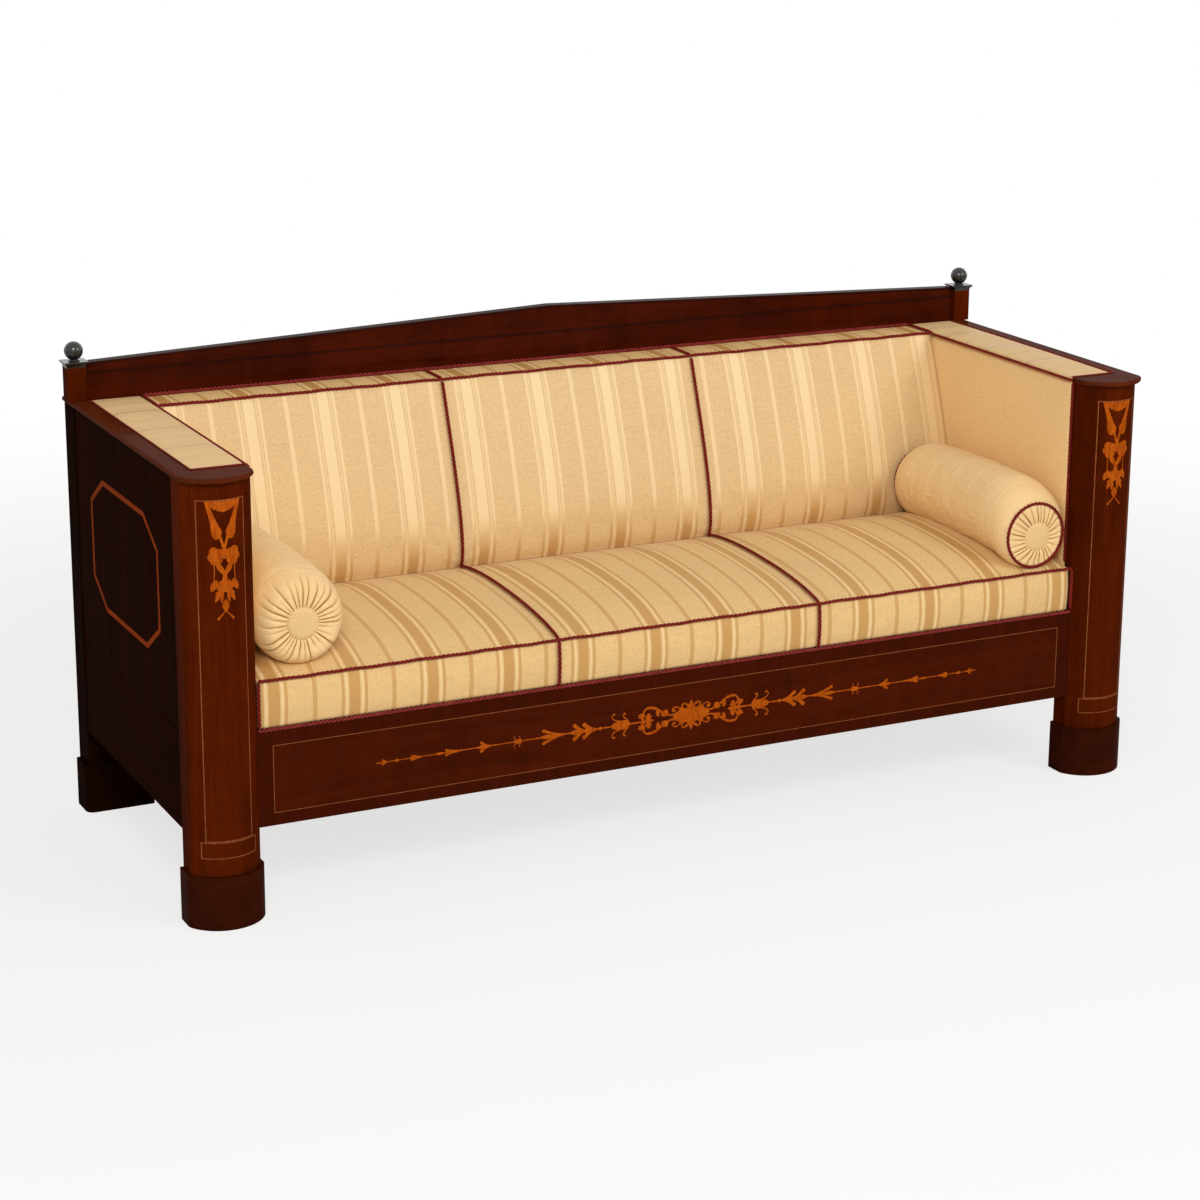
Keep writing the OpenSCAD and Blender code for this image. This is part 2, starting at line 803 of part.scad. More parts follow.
// Outline of the seat: up behind the back, over the dome and down the border
function seat_ring(x, s) = concat(
    [[x, back_web_y, seat_base], [x, back_web_y, tuck_z], [x, tuck_y, tuck_z]],
    [for (i = [seat_steps : -1 : 0]) let (u = eased(i, seat_steps)) [x, seat_y(u), seat_height(u, s)]],
    [for (i = [border_steps - 1 : -1 : 0]) let (h = i / border_steps)
        [x, border_face(h, s), seat_base + h * border_h]]
);

module seat_section(x0, x1) {
    color(silk) home() loft([for (i = [0 : section_steps]) let (s = 2 * i / section_steps - 1)
        seat_ring((x0 + x1) / 2 + s * (x1 - x0) / 2, s)]);
}

// Face of the back as [y, z], from its foot at t = 0 to its top edge at t = 1
function back_face(t) = bezier(
    [back_foot_y, foot_z], [back_foot_y - back_belly, foot_z + back_belly],
    [back_top_y - back_lean, band_top - back_lean_h], [back_top_y, band_top], t
);

function back_ring(x, s) = concat(
    [[x, back_web_y, tuck_z + soft_gap], [x, back_web_y, band_top]],
    [for (i = [back_steps : -1 : 0]) let (t = eased(i, back_steps), p = back_face(t))
        [x, p[0] - back_crown * fullness(s) * sin(180 * t), p[1]]],
    [[x, tuck_y, tuck_z + soft_gap]]
);

module back_section(x0, x1) {
    color(silk) home() loft([for (i = [0 : section_steps]) let (s = 2 * i / section_steps - 1)
        back_ring((x0 + x1) / 2 + s * (x1 - x0) / 2, s)]);
}

module back_top_pads() {
    edges = [-arm_face, -division_x, division_x, arm_face];
    color(silk) home() for (i = [0 : 2])
        block([edges[i] + soft_gap / 2, back_web_y, arm_h],
              [edges[i + 1] - soft_gap / 2, crest_y, band_top]);
}

// Fullness of the arm along the part that the back leaves free
function arm_fullness(y) =
    y >= belly_y ? 0 : fullness(2 * (y - arm_pad_y) / (belly_y - arm_pad_y) - 1);

// Outline across the inner arm padding at depth y, as far out as the frame behind it allows
function arm_ring(y, back_x) = concat(
    [[back_x, y, stuffing_rail_z], [arm_face, y, stuffing_rail_z]],
    [for (i = [0 : pad_steps])
        [arm_face - arm_crown * sin(180 * i / pad_steps) * arm_fullness(y), y,
         lining_z + i / pad_steps * (arm_h - lining_z)]],
    [[back_x, y, arm_h]]
);

module arm_upholstery() {
    start = pillar_d + soft_gap;
    loft(concat(
        [arm_ring(arm_pad_y, pillar_in), arm_ring(pillar_d, pillar_in)],
        [for (i = [0 : pad_steps])
            arm_ring(start + i / pad_steps * (belly_y - start), lining_x - web_t)],
        [arm_ring(back_web_y, lining_x - web_t)]
    ));
}

function top_pad_ring(y, swell) = concat(
    [[margin_x, y, arm_h], [arm_face, y, arm_h]],
    [for (i = [0 : pad_steps]) let (k = i / pad_steps)
        [arm_face + k * (margin_x - arm_face), y, pad_top + top_pad_crown * swell * sin(180 * k)]]
);

module arm_top_pad() {
    loft([for (i = [0 : pad_steps]) let (k = i / pad_steps)
        top_pad_ring(arm_pad_y + k * (crest_y - arm_pad_y), fullness(2 * k - 1))]);
}

// Straight cord between two points that differ along one axis
module straight_cord(from, to, d) {
    run = to - from;
    turn = run[0] != 0 ? [0, 90, 0] : run[1] != 0 ? [-90, 0, 0] : [0, 0, 0];
    translate(from) rotate(turn) cylinder(h = norm(run), d = d, $fn = round_fn / 4);
}

// Points of [y, z] moved off a curve, to the left of its run, without its two ends
function beside(curve, off) = [for (i = [1 : len(curve) - 2])
    let (run = curve[i + 1] - curve[i - 1]) curve[i] + off * [-run[1], run[0]] / norm(run)];

// Cord that bends in an upright plane at x, along points of [y, z]
module bent_cord(x, path, d) {
    last = len(path) - 1;
    loft([for (i = [0 : last])
        let (run = path[min(i + 1, last)] - path[max(i - 1, 0)], side = [-run[1], run[0]] / norm(run))
            [for (k = [0 : cord_sides - 1])
                let (a = 360 * k / cord_sides, p = path[i] + d / 2 * sin(a) * side)
                [x - d / 2 * cos(a), p[0], p[1]]]]);
}

// Cords of the seat: along its front edge, over its divisions and down its border
module seat_cords() {
    corner = cord_off * sqrt(0.5);
    seam = [for (u = concat([for (i = [0 : seat_steps - 2]) eased(i, seat_steps)],
                            [seat_u(seat_back_y - seat_cord_short), 1]))
        [seat_y(u), seat_height(u, 1)]];
    border = [for (i = [0 : 2 * border_steps]) let (h = i / (2 * border_steps))
        [border_face(h, 1), seat_base + h * border_h]];
    front_x = arm_face - cord_d;
    end_x = pillar_in - cord_off;
    end_y = border_face(0.5, 1) - cord_off;
    color(maroon) home() {
        straight_cord([-front_x, border_y - corner, edge_z + corner],
                      [front_x, border_y - corner, edge_z + corner], cord_d);
        for (side = [-1, 1]) {
            bent_cord(side * division_x, beside(seam, cord_off), cord_d);
            bent_cord(side * division_x, beside(border, cord_off), cord_d);
            straight_cord([side * end_x, end_y, seat_base + braid_h], [side * end_x, end_y, edge_z], cord_d);
        }
    }
}

// Cords of the back: along its top edge, down its divisions and across the band above
module back_cords() {
    corner = cord_off * sqrt(0.5);
    seam = [for (t = concat([0, back_cord_lift / (3 * back_belly)],
                            [for (i = [3 : back_steps]) eased(i, back_steps)]))
        back_face(t)];
    end_x = arm_face - 2 * cord_off - soft_gap;
    color(maroon) home() {
        straight_cord([-end_x, back_top_y - corner, band_top + corner],
                      [end_x, back_top_y - corner, band_top + corner], cord_d);
        for (side = [-1, 1]) {
            bent_cord(side * division_x, beside(seam, cord_off), cord_d);
            straight_cord([side * division_x, back_top_y + cord_d / 2, band_top + cord_off],
                          [side * division_x, crest_y - braid_t, band_top + cord_off], cord_d);
        }
    }
}

// Cords and thin welts of one arm
module arm_cords_right() {
    edge_x = arm_face - cord_off;
    front = [pillar_in - cord_off, arm_pad_y - cord_off];
    welt = welt_d / 2 + soft_gap;
    straight_cord([edge_x, arm_pad_y, band_top], [edge_x, back_top_y - 2 * cord_d, band_top], cord_d);
    straight_cord([edge_x, back_top_y + cord_d / 2, band_top + cord_off],
                  [edge_x, crest_y, band_top + cord_off], cord_d);
    straight_cord([front[0], front[1], foot_z], [front[0], front[1], arm_h], cord_d);
    straight_cord([arm_face, arm_pad_y + welt, pad_top + welt],
                  [margin_x - 2 * welt_d, arm_pad_y + welt, pad_top + welt], welt_d);
    straight_cord([margin_x - welt, arm_pad_y + welt_d, pad_top + welt],
                  [margin_x - welt, post_y, pad_top + welt], welt_d);
}

// Flat braid under the border and along the foot of the crest
module braid() {
    end_x = arm_face - 2 * cord_off - soft_gap;
    color(maroon) home() {
        block([-pillar_in, rail_setback - braid_t, seat_base - braid_h / 2],
              [pillar_in, rail_setback, seat_base + braid_h / 2]);
        block([-end_x, crest_y - braid_t, band_top], [end_x, crest_y, band_top + braid_h]);
    }
}

// Lowest level that a bolster may reach above the seat
function seat_under(x, y) =
    seat_height(seat_u(y), (2 * x - arm_face - division_x) / (arm_face - division_x)) + 2 * soft_gap;

// Stations from one end of a bolster to its full body:
// [distance from the end, radius, rise of the pleats, share of the end's own height]
function bolster_stations(r, end_r) = [
    [end_dish, button_d / 2 + 1, 0, 1],
    [end_dish / 2, (button_d / 2 + end_r) / 2, pleat_rise, 1],
    [0, end_r * 0.93, pleat_rise / 2, 1],
    [end_round / 4, end_r, 0, 1],
    [end_round, (end_r + 2 * r) / 3, 0, 0.6],
    [end_round * 3, r * 0.99, 0, 0.2],
    [end_round * 6, r, 0, 0]
];

// Height of the middle of a bolster's end that rests on the seat with a radius of base
function end_axis(cx, y, base) = seat_under(cx, y) + base;

function body_axis(y, r) = edge_z + bolster_lift + r + bolster_follow * arch(seat_u(y));

// One ring of a bolster, flattened where it lies on the seat and against the arm
function bolster_ring(cx, cz, y, r, pleat) = [for (k = [0 : bolster_sides - 1])
    let (a = 360 * k / bolster_sides, x = min(cx - r * cos(a), bolster_side))
        [x, y + (k % 2 == 0 ? pleat : -pleat), max(cz + r * sin(a), seat_under(x, y))]];

// Rings of one end, which stands at y and runs along dir
function bolster_end(cx, y, dir, r, end_r, base) = [for (p = bolster_stations(r, end_r))
    let (at = y + dir * p[0], cz = p[3] * end_axis(cx, y + dir * end_round / 4, base)
                                   + (1 - p[3]) * body_axis(at, r))
        bolster_ring(cx, cz, at, p[1], p[2])];

module bolster(cx, r, end_r, base) {
    rear = bolster_end(cx, bolster_back_y, -1, r, end_r, base);
    body_y = bolster_y + end_round * 6;
    body_l = bolster_back_y - end_round * 6 - body_y;
    loft(concat(
        bolster_end(cx, bolster_y, 1, r, end_r, base),
        [for (i = [1 : body_rings]) let (y = body_y + i / (body_rings + 1) * body_l)
            bolster_ring(cx, body_axis(y, r), y, r, 0)],
        [for (i = [len(rear) - 1 : -1 : 0]) rear[i]]
    ));
}

// A covered button in the dish of each end of a bolster
module bolster_buttons(cx, base) {
    rise = end_dish - soft_gap;
    dome_r = bow_r(button_d, rise);
    for (end = [[bolster_y, 1], [bolster_back_y, -1]])
        translate([cx, end[0] + end[1] * rise, end_axis(cx, end[0] + end[1] * end_round / 4, base)])
            rotate([90 * end[1], 0, 0]) rotate_extrude($fn = round_fn) intersection() {
                translate([0, rise - dome_r]) circle(dome_r, $fn = round_fn * 2);
                square([button_d / 2, rise]);
            }
}

// A corded ring round each end of the right bolster
module bolster_cords(cx, ring_r, base) {
    for (end = [[bolster_y, 1], [bolster_back_y, -1]])
        translate([cx, end[0] + end[1] * (end_round / 4 - cord_off * cos(ring_seat)),
                   end_axis(cx, end[0] + end[1] * end_round / 4, base)])
            rotate([90, 0, 0]) rotate_extrude($fn = round_fn)
                translate([ring_r, 0]) circle(cord_d / 2, $fn = round_fn / 4);
}

// Named pieces of the front and the sides
module pillar_right() { color(mahogany) home() pillar(); }
module pillar_left() { color(mahogany) home() left_side() pillar(); }
module plinth_front_right() { color(dark_mahogany) home() plinth_front(); }
module plinth_front_left() { color(dark_mahogany) home() left_side() plinth_front(); }
module rear_leg_right() { color(mahogany) home() rear_leg(); }
module rear_leg_left() { color(mahogany) home() left_side() rear_leg(); }
module plinth_rear_right() { color(dark_mahogany) home() plinth_rear(); }
module plinth_rear_left() { color(dark_mahogany) home() left_side() plinth_rear(); }
module side_rail_right() { color(dark_mahogany) home() side_rail(); }
module side_rail_left() { color(dark_mahogany) home() left_side() side_rail(); }
module side_panel_right() { color(mahogany) home() side_panel(); }
module side_panel_left() { color(mahogany) home() left_side() side_panel(); }
module arm_top_rail_right() { color(beech) home() arm_top_rail(); }
module arm_top_rail_left() { color(beech) home() left_side() arm_top_rail(); }
module arm_cap_right() { color(mahogany) home() arm_cap(); }
module arm_cap_left() { color(mahogany) home() left_side() arm_cap(); }

module seat_bearers() {
    color(beech) home() {
        lath(bearer_z);
        left_side() lath(bearer_z);
    }
}

module arm_stuffing_rails() {
    color(beech) home() {
        lath(stuffing_rail_z);
        left_side() lath(stuffing_rail_z);
    }
}

module corner_blocks() {
    color(beech) home() {
        corner_blocks_right();
        left_side() corner_blocks_right();
    }
}

// Named pieces of the posts
module post_right() { color(mahogany) home() post(); }
module post_left() { color(mahogany) home() left_side() post(); }
module post_cap_right() { color(ebonised) home() post_cap(); }
module post_cap_left() { color(ebonised) home() left_side() post_cap(); }
module finial_right() { color(ebonised) home() finial(); }
module finial_left() { color(ebonised) home() left_side() finial(); }

// Named pieces of the upholstery
module seat_left() { seat_section(-arm_face, -division_x); }
module seat_middle() { seat_section(-division_x, division_x); }
module seat_right() { seat_section(division_x, arm_face); }
module back_left() { back_section(-arm_face, -division_x); }
module back_middle() { back_section(-division_x, division_x); }
module back_right() { back_section(division_x, arm_face); }
module arm_upholstery_right() { color(silk) home() arm_upholstery(); }
module arm_upholstery_left() { color(silk) home() left_side() arm_upholstery(); }
module arm_top_pad_right() { color(silk) home() arm_top_pad(); }
module arm_top_pad_left() { color(silk) home() left_side() arm_top_pad(); }

module arm_cords() {
    color(maroon) home() {
        arm_cords_right();
        left_side() arm_cords_right();
    }
}

// Named pieces of the bolsters
module bolster_left() {
    color(silk) home() left_side() bolster(left_x, left_d / 2, gather_d / 2, left_d / 2);
}

module bolster_left_buttons() {
    color(silk) home() left_side() bolster_buttons(left_x, left_d / 2);
}

module bolster_right() {
    color(silk) home()
        bolster(right_x, right_d / 2, right_ring_r - cord_off * sin(ring_seat), ring_d / 2);
}

module bolster_right_buttons() {
    color(silk) home() bolster_buttons(right_x, ring_d / 2);
}

module bolster_right_cords() {
    color(maroon) home() bolster_cords(right_x, right_ring_r, ring_d / 2);
}

pillar_left();
pillar_right();
plinth_front_left();
plinth_front_right();
rear_leg_left();
rear_leg_right();
plinth_rear_left();
plinth_rear_right();
front_rail();
rear_rail();
side_rail_left();
side_rail_right();
side_panel_left();
side_panel_right();
seat_bearers();
cross_rails();
corner_blocks();
arm_top_rail_left();
arm_top_rail_right();
arm_stuffing_rails();
arm_cap_left();
arm_cap_right();
back_deck_rail();
back_stuffing_rail();
back_stiles();
outside_back();
crest_rail();
crest_bead();
crest_gable();
crest_capping();
post_left();
post_right();
post_cap_left();
post_cap_right();
finial_left();
finial_right();
seat_webbing_cross();
seat_webbing_long();
back_webbing();
arm_webbing();
seat_left();
seat_middle();
seat_right();
back_left();
back_middle();
back_right();
back_top_pads();
arm_upholstery_left();
arm_upholstery_right();
arm_top_pad_left();
arm_top_pad_right();
seat_cords();
back_cords();
arm_cords();
braid();
bolster_left();
bolster_left_buttons();
bolster_right();
bolster_right_buttons();
bolster_right_cords();
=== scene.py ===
import math
import bmesh
import bpy
import numpy as np
from mathutils import Matrix, Vector, noise


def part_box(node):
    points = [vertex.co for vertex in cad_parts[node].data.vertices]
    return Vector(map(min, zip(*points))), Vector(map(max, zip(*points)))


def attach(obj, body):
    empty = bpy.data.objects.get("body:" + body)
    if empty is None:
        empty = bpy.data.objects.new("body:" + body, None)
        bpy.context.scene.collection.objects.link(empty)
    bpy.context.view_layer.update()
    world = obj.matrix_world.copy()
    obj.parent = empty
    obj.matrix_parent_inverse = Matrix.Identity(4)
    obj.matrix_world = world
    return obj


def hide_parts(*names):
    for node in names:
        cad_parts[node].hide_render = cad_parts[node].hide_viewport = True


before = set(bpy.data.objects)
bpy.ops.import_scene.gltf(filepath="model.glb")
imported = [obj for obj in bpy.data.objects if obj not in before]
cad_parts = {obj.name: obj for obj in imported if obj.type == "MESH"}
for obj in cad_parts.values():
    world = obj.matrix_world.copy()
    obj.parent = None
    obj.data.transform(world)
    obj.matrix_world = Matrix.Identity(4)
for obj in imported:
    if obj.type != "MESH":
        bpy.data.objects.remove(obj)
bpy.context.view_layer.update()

# Lengths are metres. Pieces are worked out with Y = 0 at the front corners of the two pillars,
# and home() moves them to the frame's own origin.
MM = 0.001
RAIL_SETBACK = 1.5 * MM
CORNER_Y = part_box("front_rail")[0].y - RAIL_SETBACK

# Lines of the frame, most of them read from its nodes
ARM_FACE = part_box("seat_right")[1].x
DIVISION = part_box("seat_middle")[1].x
PILLAR_IN = 0.900
PILLAR_OUT = 1.034
PILLAR_BACK_Y = 0.0442
MARGIN_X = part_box("arm_top_pad_right")[1].x
SIDE_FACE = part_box("side_panel_right")[1].x
BACK_WEB_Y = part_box("back_middle")[1].y - CORNER_Y
CREST_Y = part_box("crest_rail")[0].y - CORNER_Y
SEAT_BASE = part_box("seat_middle")[0].z
STUFFING_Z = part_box("arm_upholstery_right")[0].z
ARM_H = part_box("pillar_right")[1].z
BAND_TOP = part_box("back_middle")[1].z
PAD_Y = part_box("arm_top_pad_right")[0].y - CORNER_Y

# Upholstery, with the sizes of the solids that the pieces stand for
BORDER_H = 0.092
BORDER_Y = 0.004
BORDER_BULGE = 0.007
EDGE_Z = SEAT_BASE + BORDER_H
SEAT_RISE = 0.023
SEAT_DOME = 0.022
SEAT_CROWN = 0.009
BACK_FOOT_Y = 0.480
SEAT_BACK_Y = BACK_FOOT_Y - 0.002
FOOT_Z = EDGE_Z + SEAT_RISE + 0.001
TUCK_Z = EDGE_Z + SEAT_RISE - 0.008
TUCK_Y = BACK_FOOT_Y + 0.004
BACK_TOP_Y = 0.568
BACK_BELLY = 0.042
BACK_LEAN = 0.051
BACK_LEAN_H = 0.140
BACK_CROWN = 0.004
ARM_CROWN = 0.003
EDGE_DIP = 0.003
EDGE_REACH = 0.010
LINING_Z = EDGE_Z + SEAT_RISE + SEAT_DOME
PAD_T = 0.008
CORD_D = 0.007
CORD_OFF = 0.0037
WELT_D = 0.004
WELT_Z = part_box("arm_cap_right")[1].z + 0.0006

# Bowed front of the pillars
BOW_RISE = 0.041
BOW_X = (PILLAR_IN + PILLAR_OUT) / 2
BOW_R = ((PILLAR_OUT - PILLAR_IN) ** 2 / 4 + BOW_RISE ** 2) / (2 * BOW_RISE)
BOW_Y = BOW_R - BOW_RISE

# Bolsters: the left one lies a gap beside the cord of its arm, the right one is pressed flat there
BOLSTER_Y = 0.016
LEFT_R = 0.088
RIGHT_R = 0.085
GATHER_R = 0.070
RING_R = 0.068
BUTTON_R = 0.031
BOLSTER_LIFT = 0.009
BOLSTER_FOLLOW = 0.013
BOLSTER_GAP = 0.0005
BOLSTER_PRESS = 0.012
BOLSTER_SIDE = ARM_FACE - 0.0078
LEFT_X = BOLSTER_SIDE - BOLSTER_GAP - LEFT_R
RIGHT_X = BOLSTER_SIDE + BOLSTER_PRESS - RIGHT_R
END_DISH = 0.007
END_ROUND = 0.015


# Mesh helpers

def home(points):
    """Points in metres with Y from the pillars' corners, moved to the frame's own origin."""
    moved = np.array(points, float)
    moved[..., 1] += CORNER_Y
    return moved


def piece(name, verts, faces, material, body="root", slot=None, smooth=True):
    """A mesh object that rides on a body."""
    mesh = bpy.data.meshes.new(name)
    mesh.from_pydata([tuple(v) for v in verts], [], faces)
    mesh.validate()
    bm = bmesh.new()
    bm.from_mesh(mesh)
    bmesh.ops.triangulate(bm, faces=[f for f in bm.faces if len(f.verts) > 4], ngon_method="BEAUTY")
    bmesh.ops.recalc_face_normals(bm, faces=bm.faces)
    bm.to_mesh(mesh)
    bm.free()
    mesh.polygons.foreach_set("use_smooth", [smooth] * len(mesh.polygons))
    mesh.materials.append(material)
    obj = bpy.data.objects.new(name, mesh)
    bpy.context.scene.collection.objects.link(obj)
    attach(obj, body)
    return obj


def loft_faces(rings, around, closed=False):
    """Quads between rings of points, with flat ends unless the rings close on themselves."""
    faces = []
    for i in range(rings if closed else rings - 1):
        a, b = i * around, (i + 1) % rings * around
        for j in range(around):
            k = (j + 1) % around
            faces.append((a + j, a + k, b + k, b + j))
    if not closed:
        faces.append(tuple(range(around)))
        faces.append(tuple(range((rings - 1) * around, rings * around)))
    return faces


def loft(name, rings, material, **kw):
    """A piece through rings of points."""
    rings = np.array(rings, float)
    faces = loft_faces(rings.shape[0], rings.shape[1])
    return piece(name, home(rings.reshape(-1, 3)), faces, material, **kw)


# Shapes of the stuffed pieces, as in the solids that they stand for

def fullness(s):
    """Crown across a section: 1 in its middle, 0 at s = -1 and s = 1."""
    return 1 - np.abs(s) ** 3


def arch(u):
    """Dome of the seat: 1 in the middle of its depth, 0 at u = 0 and u = 1."""
    inside = np.clip(1 - np.abs(2 * np.clip(u, 0, 1) - 1) ** 2.4, 0, None)
    return inside ** 0.8


def seat_y(u):
    """Place in the depth of the seat, from its front edge at u = 0 to the back at u = 1."""
    return BORDER_Y + u * (SEAT_BACK_Y - BORDER_Y)


def seat_height(u, s):
    """Height of the seat at a share of its depth, with s from -1 to 1 across a section."""
    return EDGE_Z + SEAT_RISE * u + (SEAT_DOME + SEAT_CROWN * fullness(s)) * arch(u)


def border_face(h, s):
    """Front of the border at a share of its height."""
    return BORDER_Y - BORDER_BULGE * np.sin(np.pi * h) * (1 + fullness(s)) / 2


def back_face(t):
    """Points of [y, z] up the back, on a Bezier curve from its foot to its top edge."""
    a, b, c, d = np.array([
        (BACK_FOOT_Y, FOOT_Z), (BACK_FOOT_Y - BACK_BELLY, FOOT_Z + BACK_BELLY),
        (BACK_TOP_Y - BACK_LEAN, BAND_TOP - BACK_LEAN_H), (BACK_TOP_Y, BAND_TOP)])
    t = t[:, None]
    return (1 - t) ** 3 * a + 3 * t * (1 - t) ** 2 * b + 3 * t * t * (1 - t) * c + t ** 3 * d


def eased(n):
    """Shares from 0 to 1 that lie closer together at both ends."""
    return (1 - np.cos(np.pi * np.arange(n + 1) / n)) / 2


BELLY_Y = back_face(np.linspace(0, 1, 60))[:, 0].min() - BACK_CROWN
BOLSTER_BACK_Y = BELLY_Y - 0.002


SEAM_STEPS = [0, 0.0015, 0.004, 0.008, 0.013, 0.020]
ACROSS_STEP = 0.012
SEAM_DIP = 0.0035
SEAM_REACH = 0.014
PUCKER = 0.0011
PUCKER_REACH = 0.016


def across(x0, x1):
    """Places across a section, close together beside its seams."""
    edge = np.array(SEAM_STEPS)
    n = max(2, round((x1 - x0 - 2 * edge[-1]) / ACROSS_STEP))
    middle = np.linspace(x0 + edge[-1], x1 - edge[-1], n + 1)
    return np.concatenate([x0 + edge[:-1], middle, x1 - edge[-2::-1]])


def pucker(x, away, seed):
    """Small unevenness of the cover, which fades away from a cord."""
    wave = noise.noise(Vector((x * 55, seed, 0))) + 0.6 * noise.noise(Vector((x * 130, seed + 5, 0)))
    return PUCKER * wave * math.exp(-away / PUCKER_REACH)


def seam_dip(x, x0, x1):
    """How far the cover is drawn in beside the seams of a section."""
    away = np.minimum(x - x0, x1 - x)
    return SEAM_DIP * np.clip(1 - away / SEAM_REACH, 0, 1) ** 2


# Materials

class Nodes:
    """Builds a node tree. Each input is a socket to link or a value to set."""

    def __init__(self, tree):
        self.tree = tree
        tree.nodes.clear()

    def feed(self, socket, value):
        if isinstance(value, bpy.types.NodeSocket):
            self.tree.links.new(value, socket)
        else:
            socket.default_value = value

    def add(self, kind, inputs=None, **settings):
        node = self.tree.nodes.new(kind)
        for name, value in settings.items():
            setattr(node, name, value)
        for name, value in (inputs or {}).items():
            self.feed(node.inputs[name], value)
        return node

    def math(self, operation, a, b=0.0, c=0.0):
        return self.add("ShaderNodeMath", {0: a, 1: b, 2: c}, operation=operation).outputs[0]

    def product(self, a, b, plus=None):
        if plus is None:
            return self.math("MULTIPLY", a, b)
        return self.math("MULTIPLY_ADD", a, b, plus)

    def mix(self, factor, a, b, blend="MIX"):
        node = self.add("ShaderNodeMix", {"Factor": factor, 6: a, 7: b}, data_type="RGBA", blend_type=blend)
        return node.outputs[2]

    def shade(self, factor, colour, by):
        return self.mix(factor, colour, by, "MULTIPLY")

    def ramp(self, factor, *stops):
        """A colour ramp from (place, value) stops, where a value is a grey or a colour."""
        node = self.add("ShaderNodeValToRGB", {"Fac": factor})
        elements = node.color_ramp.elements
        while len(elements) > 1:
            elements.remove(elements[-1])
        for i, (place, value) in enumerate(stops):
            element = elements[0] if i == 0 else elements.new(place)
            element.position = place
            element.color = value if hasattr(value, "__len__") else (value, value, value, 1)
        return node.outputs[0]

    def rescale(self, value, low, high, to_low=0.0, to_high=1.0, kind="LINEAR"):
        return self.add("ShaderNodeMapRange", {
            "Value": value, "From Min": low, "From Max": high, "To Min": to_low, "To Max": to_high},
            interpolation_type=kind).outputs[0]


class Look(Nodes):
    """A material of one principled shader, worked out from the object's own coordinates."""

    def __init__(self, name):
        self.material = bpy.data.materials.new(name)
        self.material.use_nodes = True
        super().__init__(self.material.node_tree)
        self.shader = self.add("ShaderNodeBsdfPrincipled")
        self.add("ShaderNodeOutputMaterial", {"Surface": self.shader.outputs[0]})
        self.place = self.add("ShaderNodeTexCoord").outputs["Object"]
        self.split = self.add("ShaderNodeSeparateXYZ", {"Vector": self.place}).outputs

    def noise(self, size, detail, roughness=0.55, distortion=0.0, stretch=(1.0, 1.0, 1.0)):
        """Noise, stretched by a scale for each axis."""
        place = self.add("ShaderNodeMapping", {"Vector": self.place, "Scale": stretch}).outputs[0]
        return self.add("ShaderNodeTexNoise", {
            "Vector": place, "Scale": size, "Detail": detail, "Roughness": roughness,
            "Distortion": distortion}).outputs["Fac"]

    def attribute(self, name):
        """Value of a mesh attribute."""
        return self.add("ShaderNodeAttribute", attribute_name=name).outputs["Fac"]

    def bumps(self, height, strength, distance, **inputs):
        bump = self.add("ShaderNodeBump", {
            "Height": height, "Strength": strength, "Distance": distance, **inputs})
        self.feed(self.shader.inputs["Normal"], bump.outputs[0])

    def soft_edges(self, radius):
        """Normal with edges rounded by a radius."""
        return self.add("ShaderNodeBevel", {"Radius": radius}, samples=4).outputs[0]

    def finish(self, colour, **values):
        """Links the colour, and sets constants on the shader's own sockets, with _ for a space."""
        self.feed(self.shader.inputs["Base Color"], colour)
        for name, value in values.items():
            self.shader.inputs[name.replace("_", " ")].default_value = value
        return self.material


def linear(rgb):
    """A colour of 0 to 255 as sRGB, turned to linear."""
    values = [c / 255 for c in rgb]
    return tuple(c / 12.92 if c <= 0.04045 else ((c + 0.055) / 1.055) ** 2.4 for c in values) + (1.0,)


def fibre_scale(axis, along, across=1.0):
    """Scale of the noise for fibres along an axis."""
    return tuple(along if letter == axis else across for letter in "xyz")


WOOD_EDGE = 1.2 * MM
EBONY_EDGE = 0.8 * MM

# Line inlaid round the front rail: half its length, lower and upper edge
RAIL_LINE_X = 0.870
RAIL_LINE_LOW = 0.195
RAIL_LINE_HIGH = 0.327


